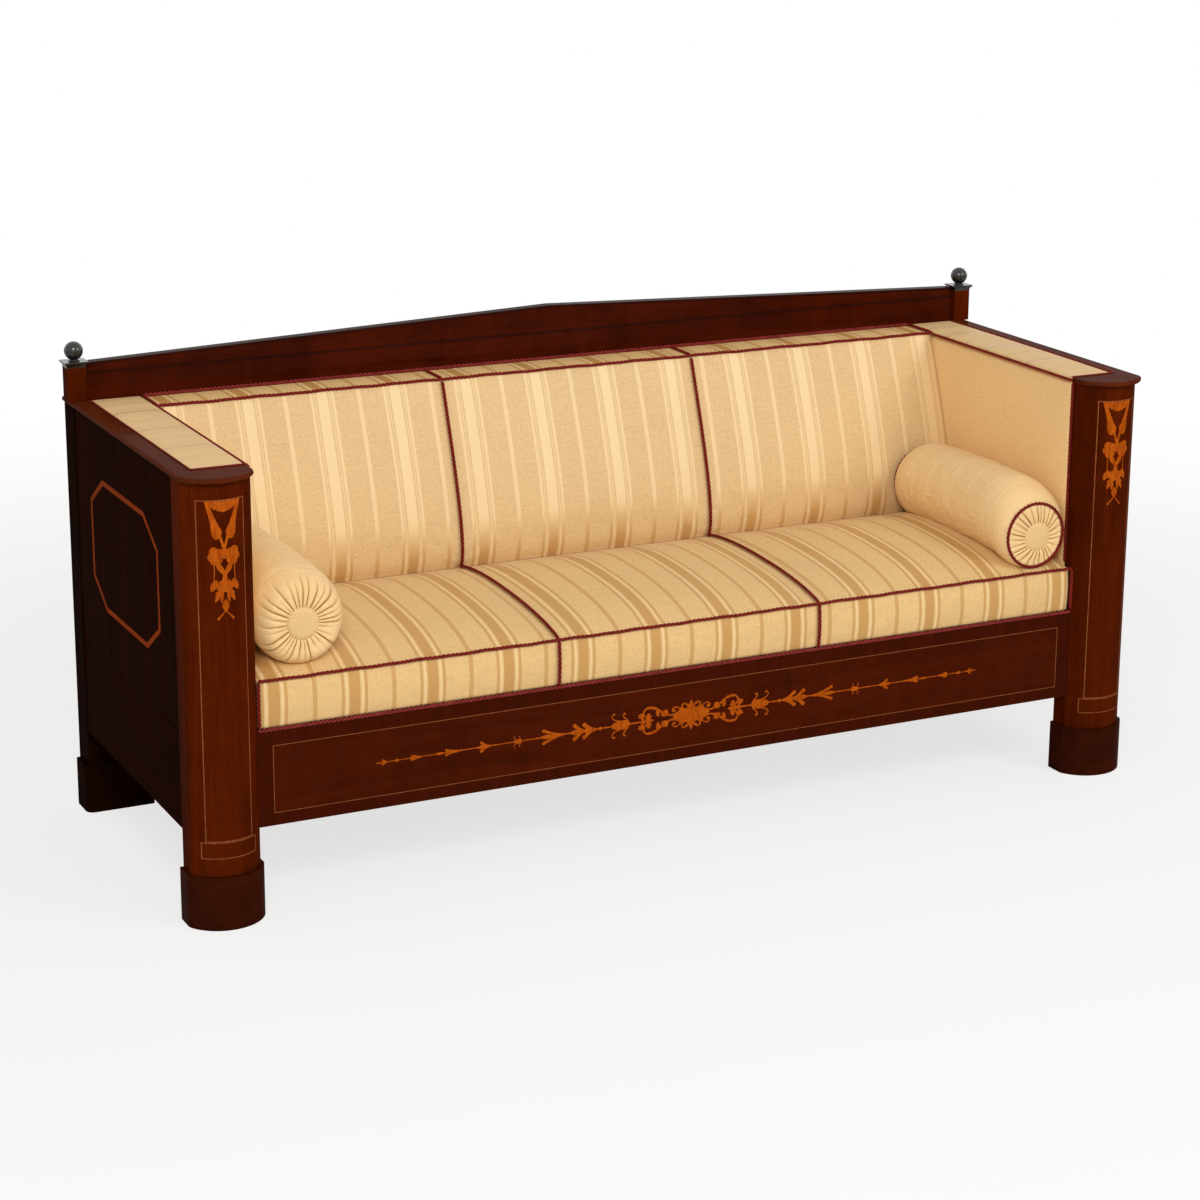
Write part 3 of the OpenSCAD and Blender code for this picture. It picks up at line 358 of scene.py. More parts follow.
def wood(name, grain, dark, light, gloss=0.24, coat=0.05, figure=0.5, ior=1.04, border=None):
    """Polished wood with fibres along an axis, growth bands, cross figure, pores and softened edges.
    border = (dark, light) gives the wood outside the line of the front rail a banding of its own."""
    look = Look(name)
    bands = look.noise(14.0, 4.0, 0.6, 1.2, fibre_scale(grain, 0.10))
    fibres = look.noise(420.0, 2.0, stretch=fibre_scale(grain, 0.03))
    flame = look.noise(30.0, 2.0, 0.5, 0.6, fibre_scale(grain, 1.0, 0.35))
    patches = look.noise(5.0, 2.0)
    tone = look.product(bands, 0.55, look.product(fibres, 0.18))
    tone = look.product(flame, 0.30 * figure, tone)
    tone = look.product(patches, 0.35 * figure, tone)
    amount = look.rescale(tone, 0.32 + 0.13 * figure, 0.62 + 0.24 * figure)
    colour = look.mix(amount, linear(dark), linear(light))
    if border:
        beyond = look.math("GREATER_THAN", look.math("ABSOLUTE", look.split[0]), RAIL_LINE_X)
        over = look.math("GREATER_THAN", look.split[2], RAIL_LINE_HIGH)
        under = look.math("LESS_THAN", look.split[2], RAIL_LINE_LOW)
        outside = look.math("MAXIMUM", beyond, look.math("MAXIMUM", over, under))
        cross_grain = look.noise(60.0, 3.0, 0.6, stretch=fibre_scale("z", 0.12))
        colour = look.mix(outside, colour, look.mix(cross_grain, linear(border[0]), linear(border[1])))
    pores = look.noise(900.0, 1.0, stretch=fibre_scale(grain, 0.035))
    colour = look.shade(0.5, colour, look.ramp(pores, (0.30, 0.55), (0.42, 1.0)))
    look.feed(look.shader.inputs["Roughness"], look.ramp(patches, (0.3, gloss - 0.03), (0.7, gloss + 0.06)))
    normal = look.soft_edges(WOOD_EDGE)
    look.bumps(look.product(bands, 0.4, look.product(fibres, 0.6)), 0.04, 0.0006, Normal=normal)
    look.feed(look.shader.inputs["Coat Normal"], normal)
    return look.finish(colour, IOR=ior, Coat_Weight=coat, Coat_Roughness=0.06, Coat_IOR=1.5)


def inlay_wood(name, dark, light, coat=0.03):
    """Pale inlaid wood: fine grain, warm shading and a thin polish."""
    look = Look(name)
    grain = look.noise(160.0, 3.0, stretch=fibre_scale("z", 0.25))
    scorch = look.noise(90.0, 2.0)
    colour = look.mix(look.ramp(grain, (0.3, 0.0), (0.7, 1.0)), linear(dark), linear(light))
    colour = look.shade(0.35, colour, look.ramp(scorch, (0.35, 0.55), (0.6, 1.0)))
    look.bumps(grain, 0.05, 0.0004)
    return look.finish(colour, Roughness=0.28, IOR=1.02, Coat_Weight=coat, Coat_Roughness=0.08)


def plain_wood(name, grain):
    """Unpolished beech of the inner frame."""
    look = Look(name)
    bands = look.noise(30.0, 4.0, 0.6, 0.8, fibre_scale(grain, 0.10))
    flecks = look.noise(500.0, 1.0, stretch=fibre_scale(grain, 0.06, 0.6))
    amount = look.ramp(bands, (0.3, 0.0), (0.7, 1.0))
    colour = look.mix(amount, linear((168, 128, 84)), linear((200, 160, 112)))
    colour = look.shade(0.3, colour, look.ramp(flecks, (0.35, 0.7), (0.5, 1.0)))
    look.bumps(bands, 0.15, 0.001)
    return look.finish(colour, Roughness=0.62, Specular_IOR_Level=0.3)


def coarse_cloth(name, plane, thread=2.2 * MM, dark=(120, 92, 55), light=(188, 156, 104)):
    """Jute or cotton cloth over two axes, with a visible plain weave and slubs."""
    look = Look(name)
    warp, weft = (look.math("SINE", look.product(look.split["XYZ".index(axis)], math.pi / thread))
                  for axis in plane)
    over = look.math("ABSOLUTE", look.product(warp, weft))
    slubs = look.noise(120.0, 3.0)
    amount = look.product(over, 0.5, look.product(slubs, 0.6))
    look.bumps(amount, 0.5, thread * 0.4)
    return look.finish(look.mix(amount, linear(dark), linear(light)),
                       Roughness=0.85, Specular_IOR_Level=0.25, Sheen_Weight=0.15)


# Stripes of the silk: period, place of the first broad stripe, and how much satin or bright line there
# is at a distance in millimetres from the middle of a broad stripe
STRIPE_PERIOD = 0.157
STRIPE_PHASE = 0.0765
SATIN_STRIPES = [(10.6, 1.0), (11.2, 0.0), (19.6, 0.0), (20.2, 0.85), (25.6, 0.85), (26.2, 0.0),
                 (73.8, 0.0), (74.4, 0.8)]
BRIGHT_LINES = [(12.4, 0.0), (12.8, 0.35), (13.4, 0.35), (13.8, 0.0), (14.6, 0.0), (15.0, 1.0),
                (17.4, 1.0), (17.8, 0.0)]
BRIGHT = (243, 216, 166)
WANDER = 1.6 * MM


def silk(name, ground, satin=(196, 150, 88), strength=1.0, axis="x", phase=STRIPE_PHASE, ribs="z",
         fleck=0.06, painted_sheen=None, gathered=False):
    """Striped silk. Broad satin stripes with a thin pale line and a narrow dark line on each side,
    and a single stripe half way. A painted sheen, given as (low, high, colour), turns the satin to a
    paler colour between two heights: painted light, for the light that the satin reflects higher up.
    ribs is the axis that the fine ribs are stacked along. A gathered cover has its stripes along the
    attribute cloth, and painted shade in its creases from the attribute crease."""
    look = Look(name)
    run = look.attribute("cloth") if gathered else look.split["xyz".index(axis)]
    straight = look.math("SUBTRACT", run, phase + WANDER / 2)
    along = look.product(look.noise(9.0, 1.0), WANDER, straight)
    share = look.product(look.math("PINGPONG", along, STRIPE_PERIOD / 2), 2 / STRIPE_PERIOD)
    half = STRIPE_PERIOD / 2 / MM
    satin_mask = look.ramp(share, *[(at / half, value) for at, value in SATIN_STRIPES])
    bright_mask = look.ramp(share, *[(at / half, value) for at, value in BRIGHT_LINES])
    shade = look.noise(3.5, 2.0)
    damask = look.noise(210.0, 2.0, 0.7)
    slubs = look.noise(380.0, 2.0, 0.6, stretch=fibre_scale(ribs, 1.0, 0.05))
    colour = look.mix(look.ramp(damask, (0.32, 0.0), (0.62, 1.0)),
                      linear([c * (1 - fleck) for c in ground]), linear(ground))
    colour = look.shade(0.20, colour, look.ramp(slubs, (0.30, 0.72), (0.60, 1.0)))
    colour = look.shade(0.25, colour, look.ramp(shade, (0.30, 0.80), (0.70, 1.0)))
    satin_colour = linear(satin)
    # Painted sheen: from the lower height up, the satin is painted paler, for the light that it reflects
    # there
    if painted_sheen:
        low, high, pale = painted_sheen
        height = look.rescale(look.product(shade, 0.05, look.split[2]), low, high)
        satin_colour = look.mix(height, satin_colour, linear(pale))
    colour = look.mix(look.product(satin_mask, strength), colour, satin_colour)
    colour = look.mix(look.product(bright_mask, 0.55 * strength), colour, linear(BRIGHT))
    if gathered:
        # Painted shade: the silk is darkened in the creases of the gathers, by the attribute crease
        creases = look.ramp(look.attribute("crease"), (0.0, 1.0), (0.5, linear((208, 184, 146))),
                            (1.0, linear((96, 64, 32))))
        colour = look.shade(1.0, colour, creases)
    look.feed(look.shader.inputs["Roughness"], look.rescale(satin_mask, 0, 1, 0.62, 0.42))
    threads = look.product(slubs, 0.6, look.product(damask, 0.5))
    look.bumps(look.product(satin_mask, 0.03, threads), 0.22, 0.0005)
    return look.finish(colour, Specular_IOR_Level=0.25, Sheen_Weight=0.08, Sheen_Roughness=0.4)


def twisted(name, dark, light):
    """Silk cord: fine threads, with painted shade that darkens the grooves in the lay of the strands."""
    look = Look(name)
    threads = look.noise(900.0, 2.0)
    amount = look.product(threads, 0.7, look.product(look.noise(60.0, 2.0), 0.3))
    colour = look.mix(look.ramp(amount, (0.35, 0.0), (0.65, 1.0)), linear(dark), linear(light))
    # Painted shade: the grooves between the strands, where lay is low, are painted darker
    lay = look.ramp(look.attribute("lay"), (0.0, 0.10), (0.35, 0.35), (0.75, 1.0))
    look.bumps(threads, 0.3, 0.0004)
    return look.finish(look.shade(1.0, colour, lay), Roughness=0.55, Specular_IOR_Level=0.12,
                       Sheen_Weight=0.04, Sheen_Roughness=0.4)


def ebony(name):
    """Black polish on wood, with fine streaks and softened edges."""
    look = Look(name)
    streaks = look.noise(120.0, 3.0, stretch=fibre_scale("z", 0.2))
    look.bumps(streaks, 0.05, 0.0005, Normal=look.soft_edges(EBONY_EDGE))
    return look.finish(look.mix(streaks, linear((14, 12, 10)), linear((34, 28, 24))),
                       Roughness=0.25, Specular_IOR_Level=0.3, Coat_Weight=0.6, Coat_Roughness=0.05)


PILLAR_WOOD = wood("mahogany_upright", "z", (58, 15, 1), (94, 31, 4), coat=0.012, ior=1.015)
CREST_WOOD = wood("mahogany_crest", "x", (40, 8, 2), (76, 22, 5), figure=0.9, coat=0.03, ior=1.02)
DARK_WOOD = wood("mahogany_dark", "x", (36, 12, 6), (58, 22, 12), gloss=0.2)
CAP_WOOD = wood("mahogany_caps", "y", (66, 25, 8), (104, 44, 18), gloss=0.18, coat=0.03, ior=1.02)
# Painted shade: a darker copy of the mahogany for the side panels, for the shade on the sides
SHADED_SIDE_WOOD = wood("mahogany_sides_painted_shade", "z", (24, 7, 1), (43, 12, 3), coat=0.003, ior=1.01)
# Painted shade: a darker copy of the mahogany for the rear legs and rear plinths, for the shadow that they
# stand in
SHADED_LEG_WOOD = wood("mahogany_rear_legs_painted_shade", "z", (18, 6, 2), (34, 11, 4), coat=0.003, ior=1.01)
# Painted shade: a darker copy of the mahogany for the side rails, for the shade on the sides
SHADED_SIDE_RAIL_WOOD = wood("mahogany_side_rails_painted_shade", "y", (24, 6, 2), (40, 11, 4), coat=0.002, ior=1.01)
PLINTH_WOOD = wood("mahogany_plinth", "x", (40, 12, 3), (64, 21, 6), coat=0.03, ior=1.02)
RAIL_WOOD = wood("mahogany_rail", "x", (50, 13, 2), (80, 24, 4), figure=0.7, coat=0.03, ior=1.02,
                 border=((48, 12, 2), (70, 20, 4)))
BEECH_X = plain_wood("beech_across", "x")
BEECH_Y = plain_wood("beech_deep", "y")
BEECH_Z = plain_wood("beech_upright", "z")
SATINWOOD = inlay_wood("satinwood", (152, 64, 8), (184, 88, 16))
BANDING = inlay_wood("side_banding", (118, 42, 6), (158, 64, 12), coat=0.005)
BOXWOOD = inlay_wood("boxwood_line", (122, 66, 36), (152, 88, 52))
EBONY = ebony("ebonised")
JUTE_XY = coarse_cloth("jute_flat", "XY")
JUTE_XZ = coarse_cloth("jute_back", "XZ")
JUTE_YZ = coarse_cloth("jute_arm", "YZ")
BACK_CLOTH = coarse_cloth("back_cloth", "XZ", 0.8 * MM, (170, 140, 98), (214, 186, 140))
SEAT_SILK = silk("silk_seat", (231, 192, 132), ribs="y")
# Painted sheen: the satin of the back is painted paler above a height, for the light that it catches there
BACK_SILK = silk("silk_back", (230, 195, 142), strength=0.85, painted_sheen=(0.53, 0.60, (240, 212, 162)))
BAND_SILK = silk("silk_band", (244, 200, 130), (204, 148, 74), ribs="y")
# Painted light: the arms' silk has a paler ground than the seat's, for the light on their inner faces; its
# faint stripes are the pattern
LIT_ARM_SILK = silk("silk_arms_painted_light", (250, 211, 150), (252, 220, 166), 0.12, fleck=0.04)
PAD_SILK = silk("silk_pads", (236, 196, 136), (206, 160, 100), 0.55, "y", 0.02, ribs="y", fleck=0.04)
BOLSTER_SILK = silk("silk_bolsters", (244, 206, 148), (250, 220, 168), 0.22, phase=0.0, ribs="y",
                    fleck=0.03, gathered=True)
BUTTON_SILK = silk("silk_buttons", (232, 194, 138), strength=0.0, fleck=0.03)
MAROON = twisted("maroon_cord", (100, 14, 8), (156, 38, 24))
BRAID_RED = twisted("red_braid", (104, 22, 22), (172, 60, 52))

NODE_LOOKS = {
    PILLAR_WOOD: ["pillar_left", "pillar_right", "post_left", "post_right"],
    CREST_WOOD: ["crest_rail", "crest_gable"],
    DARK_WOOD: ["crest_bead", "crest_capping"],
    CAP_WOOD: ["arm_cap_left", "arm_cap_right"],
    SHADED_SIDE_WOOD: ["side_panel_left", "side_panel_right"],
    SHADED_LEG_WOOD: ["rear_leg_left", "rear_leg_right", "plinth_rear_left", "plinth_rear_right"],
    SHADED_SIDE_RAIL_WOOD: ["side_rail_left", "side_rail_right"],
    PLINTH_WOOD: ["plinth_front_left", "plinth_front_right"],
    RAIL_WOOD: ["front_rail"],
    BEECH_X: ["rear_rail", "back_deck_rail", "back_stuffing_rail"],
    BEECH_Y: ["seat_bearers", "cross_rails", "corner_blocks", "arm_top_rail_left", "arm_top_rail_right",
              "arm_stuffing_rails"],
    BEECH_Z: ["back_stiles"],
    EBONY: ["post_cap_left", "post_cap_right", "finial_left", "finial_right"],
    JUTE_XY: ["seat_webbing_cross", "seat_webbing_long"],
    JUTE_XZ: ["back_webbing"],
    JUTE_YZ: ["arm_webbing"],
    BACK_CLOTH: ["outside_back"],
}


def dress_nodes():
    """Gives each node of the frame its material."""
    for material, names in NODE_LOOKS.items():
        for name in names:
            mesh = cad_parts[name].data
            mesh.materials.clear()
            mesh.materials.append(material)


# Stuffed sections of seat and back

SEAM_GAP = 0.3 * MM
EDGE_DRAW = 0.0012
STUFFING_LIMIT = 4 * MM
CLOTH_FRAMES = 20
CLOTH = dict(quality=5, mass=0.1, tension_stiffness=15, compression_stiffness=15, shear_stiffness=5,
             bending_stiffness=0.5, use_pressure=True, uniform_pressure_force=4.0)

# Mesh of the sections: places on each stretch of their outline, and rings that stay with their seams
BOTTOM_STEPS = 24
REAR_STEPS = 7
TUCK_STEPS = 8
FACE_STEPS = 44
BORDER_STEPS = 14
WEB_STEPS = 30
TOP_STEPS = 4
HELD_RINGS = 2


def stuff(obj, rings, around, free):
    """Fills a section: cloth under pressure, no further than a limit. Only the places free of a ring
    move, and none of the outermost rings."""
    held = [i * around + j for i in range(rings) for j in range(around)
            if j not in free or not HELD_RINGS <= i < rings - HELD_RINGS]
    obj.vertex_groups.new(name="held").add(held, 1.0, "REPLACE")
    modifier = obj.modifiers.new("stuffing", "CLOTH")
    for name, value in CLOTH.items():
        setattr(modifier.settings, name, value)
    modifier.settings.effector_weights.gravity = 0
    modifier.settings.vertex_group_mass = "held"
    modifier.collision_settings.use_collision = False
    modifier.collision_settings.use_self_collision = False
    modifier.point_cache.frame_start = 1
    modifier.point_cache.frame_end = CLOTH_FRAMES
    before = np.array([v.co for v in obj.data.vertices], float)
    for step in range(1, CLOTH_FRAMES + 1):
        bpy.context.scene.frame_set(step)
    filled = obj.evaluated_get(bpy.context.evaluated_depsgraph_get())
    move = np.array([v.co for v in filled.data.vertices], float) - before
    size = np.linalg.norm(move, axis=1)
    scale = STUFFING_LIMIT * np.tanh(size / STUFFING_LIMIT) / np.maximum(size, 1e-9)
    obj.modifiers.remove(modifier)
    obj.data.vertices.foreach_set("co", (before + move * scale[:, None]).ravel())
    obj.data.update()
    obj.vertex_groups.clear()
    bpy.context.scene.frame_set(1)


def cover(obj, node):
    """Subdivides a stuffed piece and puts it in the place of its solid."""
    modifier = obj.modifiers.new("subdivision", "SUBSURF")
    modifier.levels = 1
    modifier.render_levels = 1
    if node:
        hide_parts(node)


def seat_section(name, node, x0, x1):
    """Seat section: tucked under the back, domed, with a soft edge and a swelling border."""
    xs = across(x0 + SEAM_GAP, x1 - SEAM_GAP)
    us = eased(FACE_STEPS)[::-1]
    rings = []
    for x in xs:
        s = 2 * (x - x0) / (x1 - x0) - 1
        dip = seam_dip(x, x0, x1)
        hidden = [(x, y, SEAT_BASE) for y in np.linspace(BORDER_Y + 0.02, BACK_WEB_Y, BOTTOM_STEPS)]
        hidden += [(x, BACK_WEB_Y, z) for z in np.linspace(SEAT_BASE, TUCK_Z, REAR_STEPS)[1:]]
        hidden += [(x, y, TUCK_Z) for y in np.linspace(BACK_WEB_Y, TUCK_Y, TUCK_STEPS)[1:]]
        top = []
        for u in us:
            y = seat_y(u)
            drawn = EDGE_DRAW * (u == 0)
            top.append((x, y + drawn, seat_height(u, s) - dip - drawn + pucker(x, y - BORDER_Y, 2.0)))
        border = []
        for h in np.linspace(1, 0, BORDER_STEPS)[1:]:
            y = border_face(h, s) + dip + pucker(x, (1 - h) * BORDER_H, 9.0)
            border.append((x, y, SEAT_BASE + h * BORDER_H))
        rings.append(hidden + top + border)
    obj = loft(name, rings, SEAT_SILK, slot="striped_silk")
    around = len(rings[0])
    edge = len(hidden) + len(us) - 1
    free = set(range(len(hidden) + 2, around - 1)) - {edge}
    stuff(obj, len(xs), around, free)
    cover(obj, node)


def back_section(name, node, x0, x1):
    """Back section: bellied at the seat, leaning in below its top edge."""
    xs = across(x0 + SEAM_GAP, x1 - SEAM_GAP)
    ts = eased(FACE_STEPS)[::-1]
    foot_z = TUCK_Z + 0.0008
    rings = []
    for x in xs:
        s = 2 * (x - x0) / (x1 - x0) - 1
        dip = seam_dip(x, x0, x1)
        hidden = [(x, BACK_WEB_Y, z) for z in np.linspace(foot_z, BAND_TOP - 0.004, WEB_STEPS)]
        hidden += [(x, y, BAND_TOP - 0.003)
                   for y in np.linspace(BACK_WEB_Y, BACK_TOP_Y + 0.003, TOP_STEPS)[1:]]
        face = []
        for t, (y, z) in zip(ts, back_face(ts)):
            crown = BACK_CROWN * fullness(s) * math.sin(math.pi * t)
            face.append((x, y - crown + dip + pucker(x, BAND_TOP - z, 15.0), z - 0.001 * (t == 1)))
        foot = [(x, y, foot_z) for y in np.linspace(TUCK_Y, BACK_WEB_Y, TUCK_STEPS)[:-1]]
        rings.append(hidden + face + foot)
    obj = loft(name, rings, BACK_SILK, slot="striped_silk")
    stuff(obj, len(xs), len(rings[0]), set(range(len(hidden) + 2, len(hidden) + len(ts) - 2)))
    cover(obj, node)


# Pads and linings

def edge_drop(away, r):
    """How far an edge rounded by a radius has fallen at a distance in from it."""
    return r - math.sqrt(max(0.0, r ** 2 - max(0.0, r - away) ** 2))


def edge_steps(a, b, reach, middle):
    """Places from a to b, with a few close together near both ends."""
    near = np.array([0, 0.12, 0.3, 0.6, 1.0]) * reach
    return np.concatenate([a + near[:-1], np.linspace(a + reach, b - reach, middle), b - near[-2::-1]])


def low_pad(name, xs, ys, z0, z1, crown, edge_r, material, node):
    """Low pad with a rounded upper edge and a crown, over a base that stays flat."""
    x0, x1, y0, y1 = xs[0], xs[-1], ys[0], ys[-1]
    rings = []
    for y in ys:
        end_drop = edge_drop(min(y - y0, y1 - y), edge_r)
        ring = [(x, y, z0) for x in xs[::-1]]
        for x in xs:
            drop = max(edge_drop(min(x - x0, x1 - x), edge_r), end_drop)
            swell = fullness(2 * (x - x0) / (x1 - x0) - 1) * fullness(2 * (y - y0) / (y1 - y0) - 1)
            ring.append((x, y, max(z0 + 0.001, z1 + crown * swell - drop)))
        rings.append(ring)
    cover(loft(name, rings, material, slot="striped_silk"), node)


def band(name, x0, x1, node=None):
    """Flat band along the top of a back section."""
    xs = edge_steps(x0 + 0.2 * MM, x1 - 0.2 * MM, 0.004, 34)
    ys = edge_steps(BACK_TOP_Y + 0.0035, CREST_Y - 0.0002, 0.003, 7)
    low_pad(name, xs, ys, BAND_TOP - 0.0025, BAND_TOP + 0.0005, 0.0015, 0.002, BAND_SILK, node)


def arm_top_pad(name, node, side):
    """Stuffed pad along the top of an arm."""
    xs = edge_steps(ARM_FACE + 0.0002, MARGIN_X - 0.0002, 0.006, 9)
    xs = xs if side > 0 else -xs[::-1]
    ys = edge_steps(PAD_Y + 0.0005, CREST_Y - 0.0003, 0.006, 48)
    low_pad(name, xs, ys, ARM_H + 0.0002, ARM_H + PAD_T + 0.0015, 0.005, 0.006, PAD_SILK, node)


def arm_lining(name, node, side):
    """Stuffed inner side of an arm. Beside the pillar it is only as thick as it stands proud of it."""
    zs = np.concatenate([np.linspace(STUFFING_Z, LINING_Z, 6), np.linspace(LINING_Z, ARM_H, 30)[1:]])
    low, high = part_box(node)
    web_x = high.x if side > 0 else -low.x
    rings = []
    for y in edge_steps(PAD_Y, BACK_WEB_Y, EDGE_REACH, 40):
        behind = PILLAR_IN - 0.0001 if y < PILLAR_BACK_Y else web_x
        ring = [(side * behind, y, z) for z in zs[::-1]]
        full = 0 if y >= BELLY_Y else fullness(2 * (y - PAD_Y) / (BELLY_Y - PAD_Y) - 1)
        front_dip = EDGE_DIP * max(0.0, 1 - (y - PAD_Y) / EDGE_REACH) ** 2
        for z in zs:
            k = max(0.0, (z - LINING_Z) / (ARM_H - LINING_Z))
            swell = ARM_CROWN * math.sin(math.pi * k) * full
            top_dip = EDGE_DIP * max(0.0, 1 - (ARM_H - z) / EDGE_REACH) ** 2
            ring.append((side * (ARM_FACE + 0.0002 - swell + max(front_dip, top_dip)), y, z))
        rings.append(ring)
    cover(loft(name, rings, LIT_ARM_SILK, slot="striped_silk"), node)


# Twisted cords

CORD = dict(d=CORD_D, pitch=28 * MM)
WELT = dict(d=WELT_D, pitch=14 * MM, step=1.4 * MM, sides=14)
BRAID = dict(d=8.6 * MM, pitch=19 * MM, strands=2, sides=20, flat=(0.46, 0.92))
BRAID_HALF = 2.1 * MM

# How deep the seam under a cord is drawn in, how deep a cord sinks in it, and how far the middle of a
# cord on a corner lies from both faces
SEAM_IN = 0.0010
SUNK = 0.0006
ON_CORNER = CORD_OFF * math.sqrt(0.5) - SUNK


def run_along(points, step):
    """Evenly spaced points along a path."""
    points = np.array(points, float)
    lengths = np.linalg.norm(np.diff(points, axis=0), axis=1)
    total = lengths.sum()
    at = np.concatenate([[0], np.cumsum(lengths)])
    wanted = np.linspace(0, total, max(2, round(total / step)) + 1)
    return np.stack([np.interp(wanted, at, points[:, k]) for k in range(3)], axis=1), total


def rope_section(strands, sides, r):
    """Angles and radii round a rope of a few strands, with a core that closes the grooves."""
    strand_r = r * (0.47 if strands == 3 else 0.5)
    core_r = 0.22 * r
    off_axis = r - strand_r
    angles = np.arange(sides) * 2 * math.pi / sides
    wedge = 2 * math.pi / strands
    off = (angles + wedge / 2) % wedge - wedge / 2
    inside = np.maximum(strand_r * strand_r - (off_axis * np.sin(off)) ** 2, core_r ** 2)
    return angles, off_axis * np.cos(off) + np.sqrt(inside)


def rope(points, d, pitch, strands=3, sides=18, step=1.7 * MM, up=(0, 0, 1), flat=(1.0, 1.0), closed=False):
    """Vertices, faces and lay of a twisted rope along a path. flat = scale sideways and upwards."""
    line, total = run_along(points, step)
    turns = total / pitch
    if closed:
        line = line[:-1]
        turns = round(turns * strands) / strands
        tangent = np.roll(line, -1, axis=0) - np.roll(line, 1, axis=0)
    else:
        tangent = np.gradient(line, axis=0)
    n = len(line)
    tangent /= np.linalg.norm(tangent, axis=1)[:, None]
    side = np.cross(tangent, np.array(up, float))
    side /= np.linalg.norm(side, axis=1)[:, None]
    over = np.cross(side, tangent)
    angles, radii = rope_section(strands, sides, d / 2)
    verts = np.zeros((n, sides, 3))
    for i in range(n):
        turned = angles + 2 * math.pi * turns * i / (n if closed else n - 1)
        taper = 1.0 if closed else min(1.0, 0.55 + 0.45 * min(i, n - 1 - i) / 2)
        verts[i] = (line[i] + taper * radii[:, None] * (flat[0] * np.cos(turned)[:, None] * side[i]
                                                        + flat[1] * np.sin(turned)[:, None] * over[i]))
    # lay is 0 in the grooves and 1 on top of the strands; the cord's material paints shade from it
    lay = (radii - radii.min()) / (radii.max() - radii.min())
    return verts.reshape(-1, 3), loft_faces(n, sides, closed), np.tile(lay, n)


def set_attribute(obj, name, values):
    """A number for each point of the mesh, which the material reads."""
    layer = obj.data.attributes.new(name, "FLOAT", "POINT")
    layer.data.foreach_set("value", np.concatenate(values))


def ropes(name, parts, node, material=None, slot="twisted_cord", body="root"):
    """One piece of several ropes, in the place of a node."""
    verts, faces, lays, start = [], [], [], 0
    for rope_verts, rope_faces, lay in parts:
        verts.append(rope_verts)
        lays.append(lay)
        faces += [tuple(i + start for i in face) for face in rope_faces]
        start += len(rope_verts)
    obj = piece(name, home(np.concatenate(verts)), faces, material or MAROON, body=body, slot=slot)
    set_attribute(obj, "lay", lays)
    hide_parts(node)


def offset_path(curve, off):
    """Points of [y, z] moved off a curve, to the left of its run."""
    run = np.gradient(curve, axis=0)
    run /= np.linalg.norm(run, axis=1)[:, None]
    return curve + off * np.stack([-run[:, 1], run[:, 0]], axis=1)


def upright_rope(x, path):
    """Cord along points of [y, z] at one place across the sofa."""
    return rope([(x, y, z) for y, z in path], up=(1, 0, 0), **CORD)


def level_path(end_x, y, z, waves):
    """Path from side to side that isn't quite straight. waves = (height, turns, start) of each wave."""
    return [(x, y, z + sum(height * math.sin(x * turns + start) for height, turns, start in waves))
            for x in np.linspace(-end_x, end_x, 240)]


def seat_cords():
    """Cords along the front edge of the seat, down its ends, and over and down its divisions."""
    us = eased(40)
    hs = np.linspace(0.03, 1, 20)
    seam = np.stack([seat_y(us), seat_height(us, 1) - SEAM_IN], axis=1)
    border = np.stack([border_face(hs, 1) + SEAM_IN, SEAT_BASE + hs * BORDER_H], axis=1)
    end_x = PILLAR_IN - CORD_OFF
    end_y = BORDER_Y - BORDER_BULGE / 2 - CORD_OFF
    y, z = BORDER_Y - ON_CORNER, EDGE_Z + ON_CORNER
    right_end = [(end_x - 0.003, y - 0.0015, z), (end_x, end_y, z - 0.0015)]
    left_end = [(-end_x, end_y, z - 0.0015), (-end_x + 0.003, y - 0.0015, z)]
    edge = level_path(ARM_FACE - 0.002, y, z, [(0.0005, 41, 0), (0.0004, 97, 1)])
    parts = [rope(left_end + edge + right_end, **CORD)]
    for side in (-1, 1):
        parts.append(upright_rope(side * DIVISION, offset_path(seam, CORD_OFF)[1:-1]))
        parts.append(upright_rope(side * DIVISION, offset_path(border, CORD_OFF)))
        parts.append(rope([(side * end_x, end_y, SEAT_BASE + 0.007), (side * end_x, end_y, EDGE_Z)],
                          up=(0, 1, 0), **CORD))
    ropes("seat_piping", parts, "seat_cords")


def back_cords():
    """Cords along the top edge of the back, and up its divisions and across the flat band."""
    seam = back_face(np.linspace(0.02, 0.99, 60))
    seam[:, 0] += SEAM_IN
    over_z = BAND_TOP + CORD_OFF - SUNK
    edge = level_path(ARM_FACE - 0.002, BACK_TOP_Y - ON_CORNER, BAND_TOP + ON_CORNER,
                      [(0.0006, 37, 2), (0.0004, 90, 0)])
    parts = [rope(edge, **CORD)]
    for side in (-1, 1):
        parts.append(upright_rope(side * DIVISION, offset_path(seam, CORD_OFF)))
        parts.append(upright_rope(side * DIVISION, [(BACK_TOP_Y + 0.003, over_z), (CREST_Y - 0.003, over_z)]))
    ropes("back_piping", parts, "back_cords")


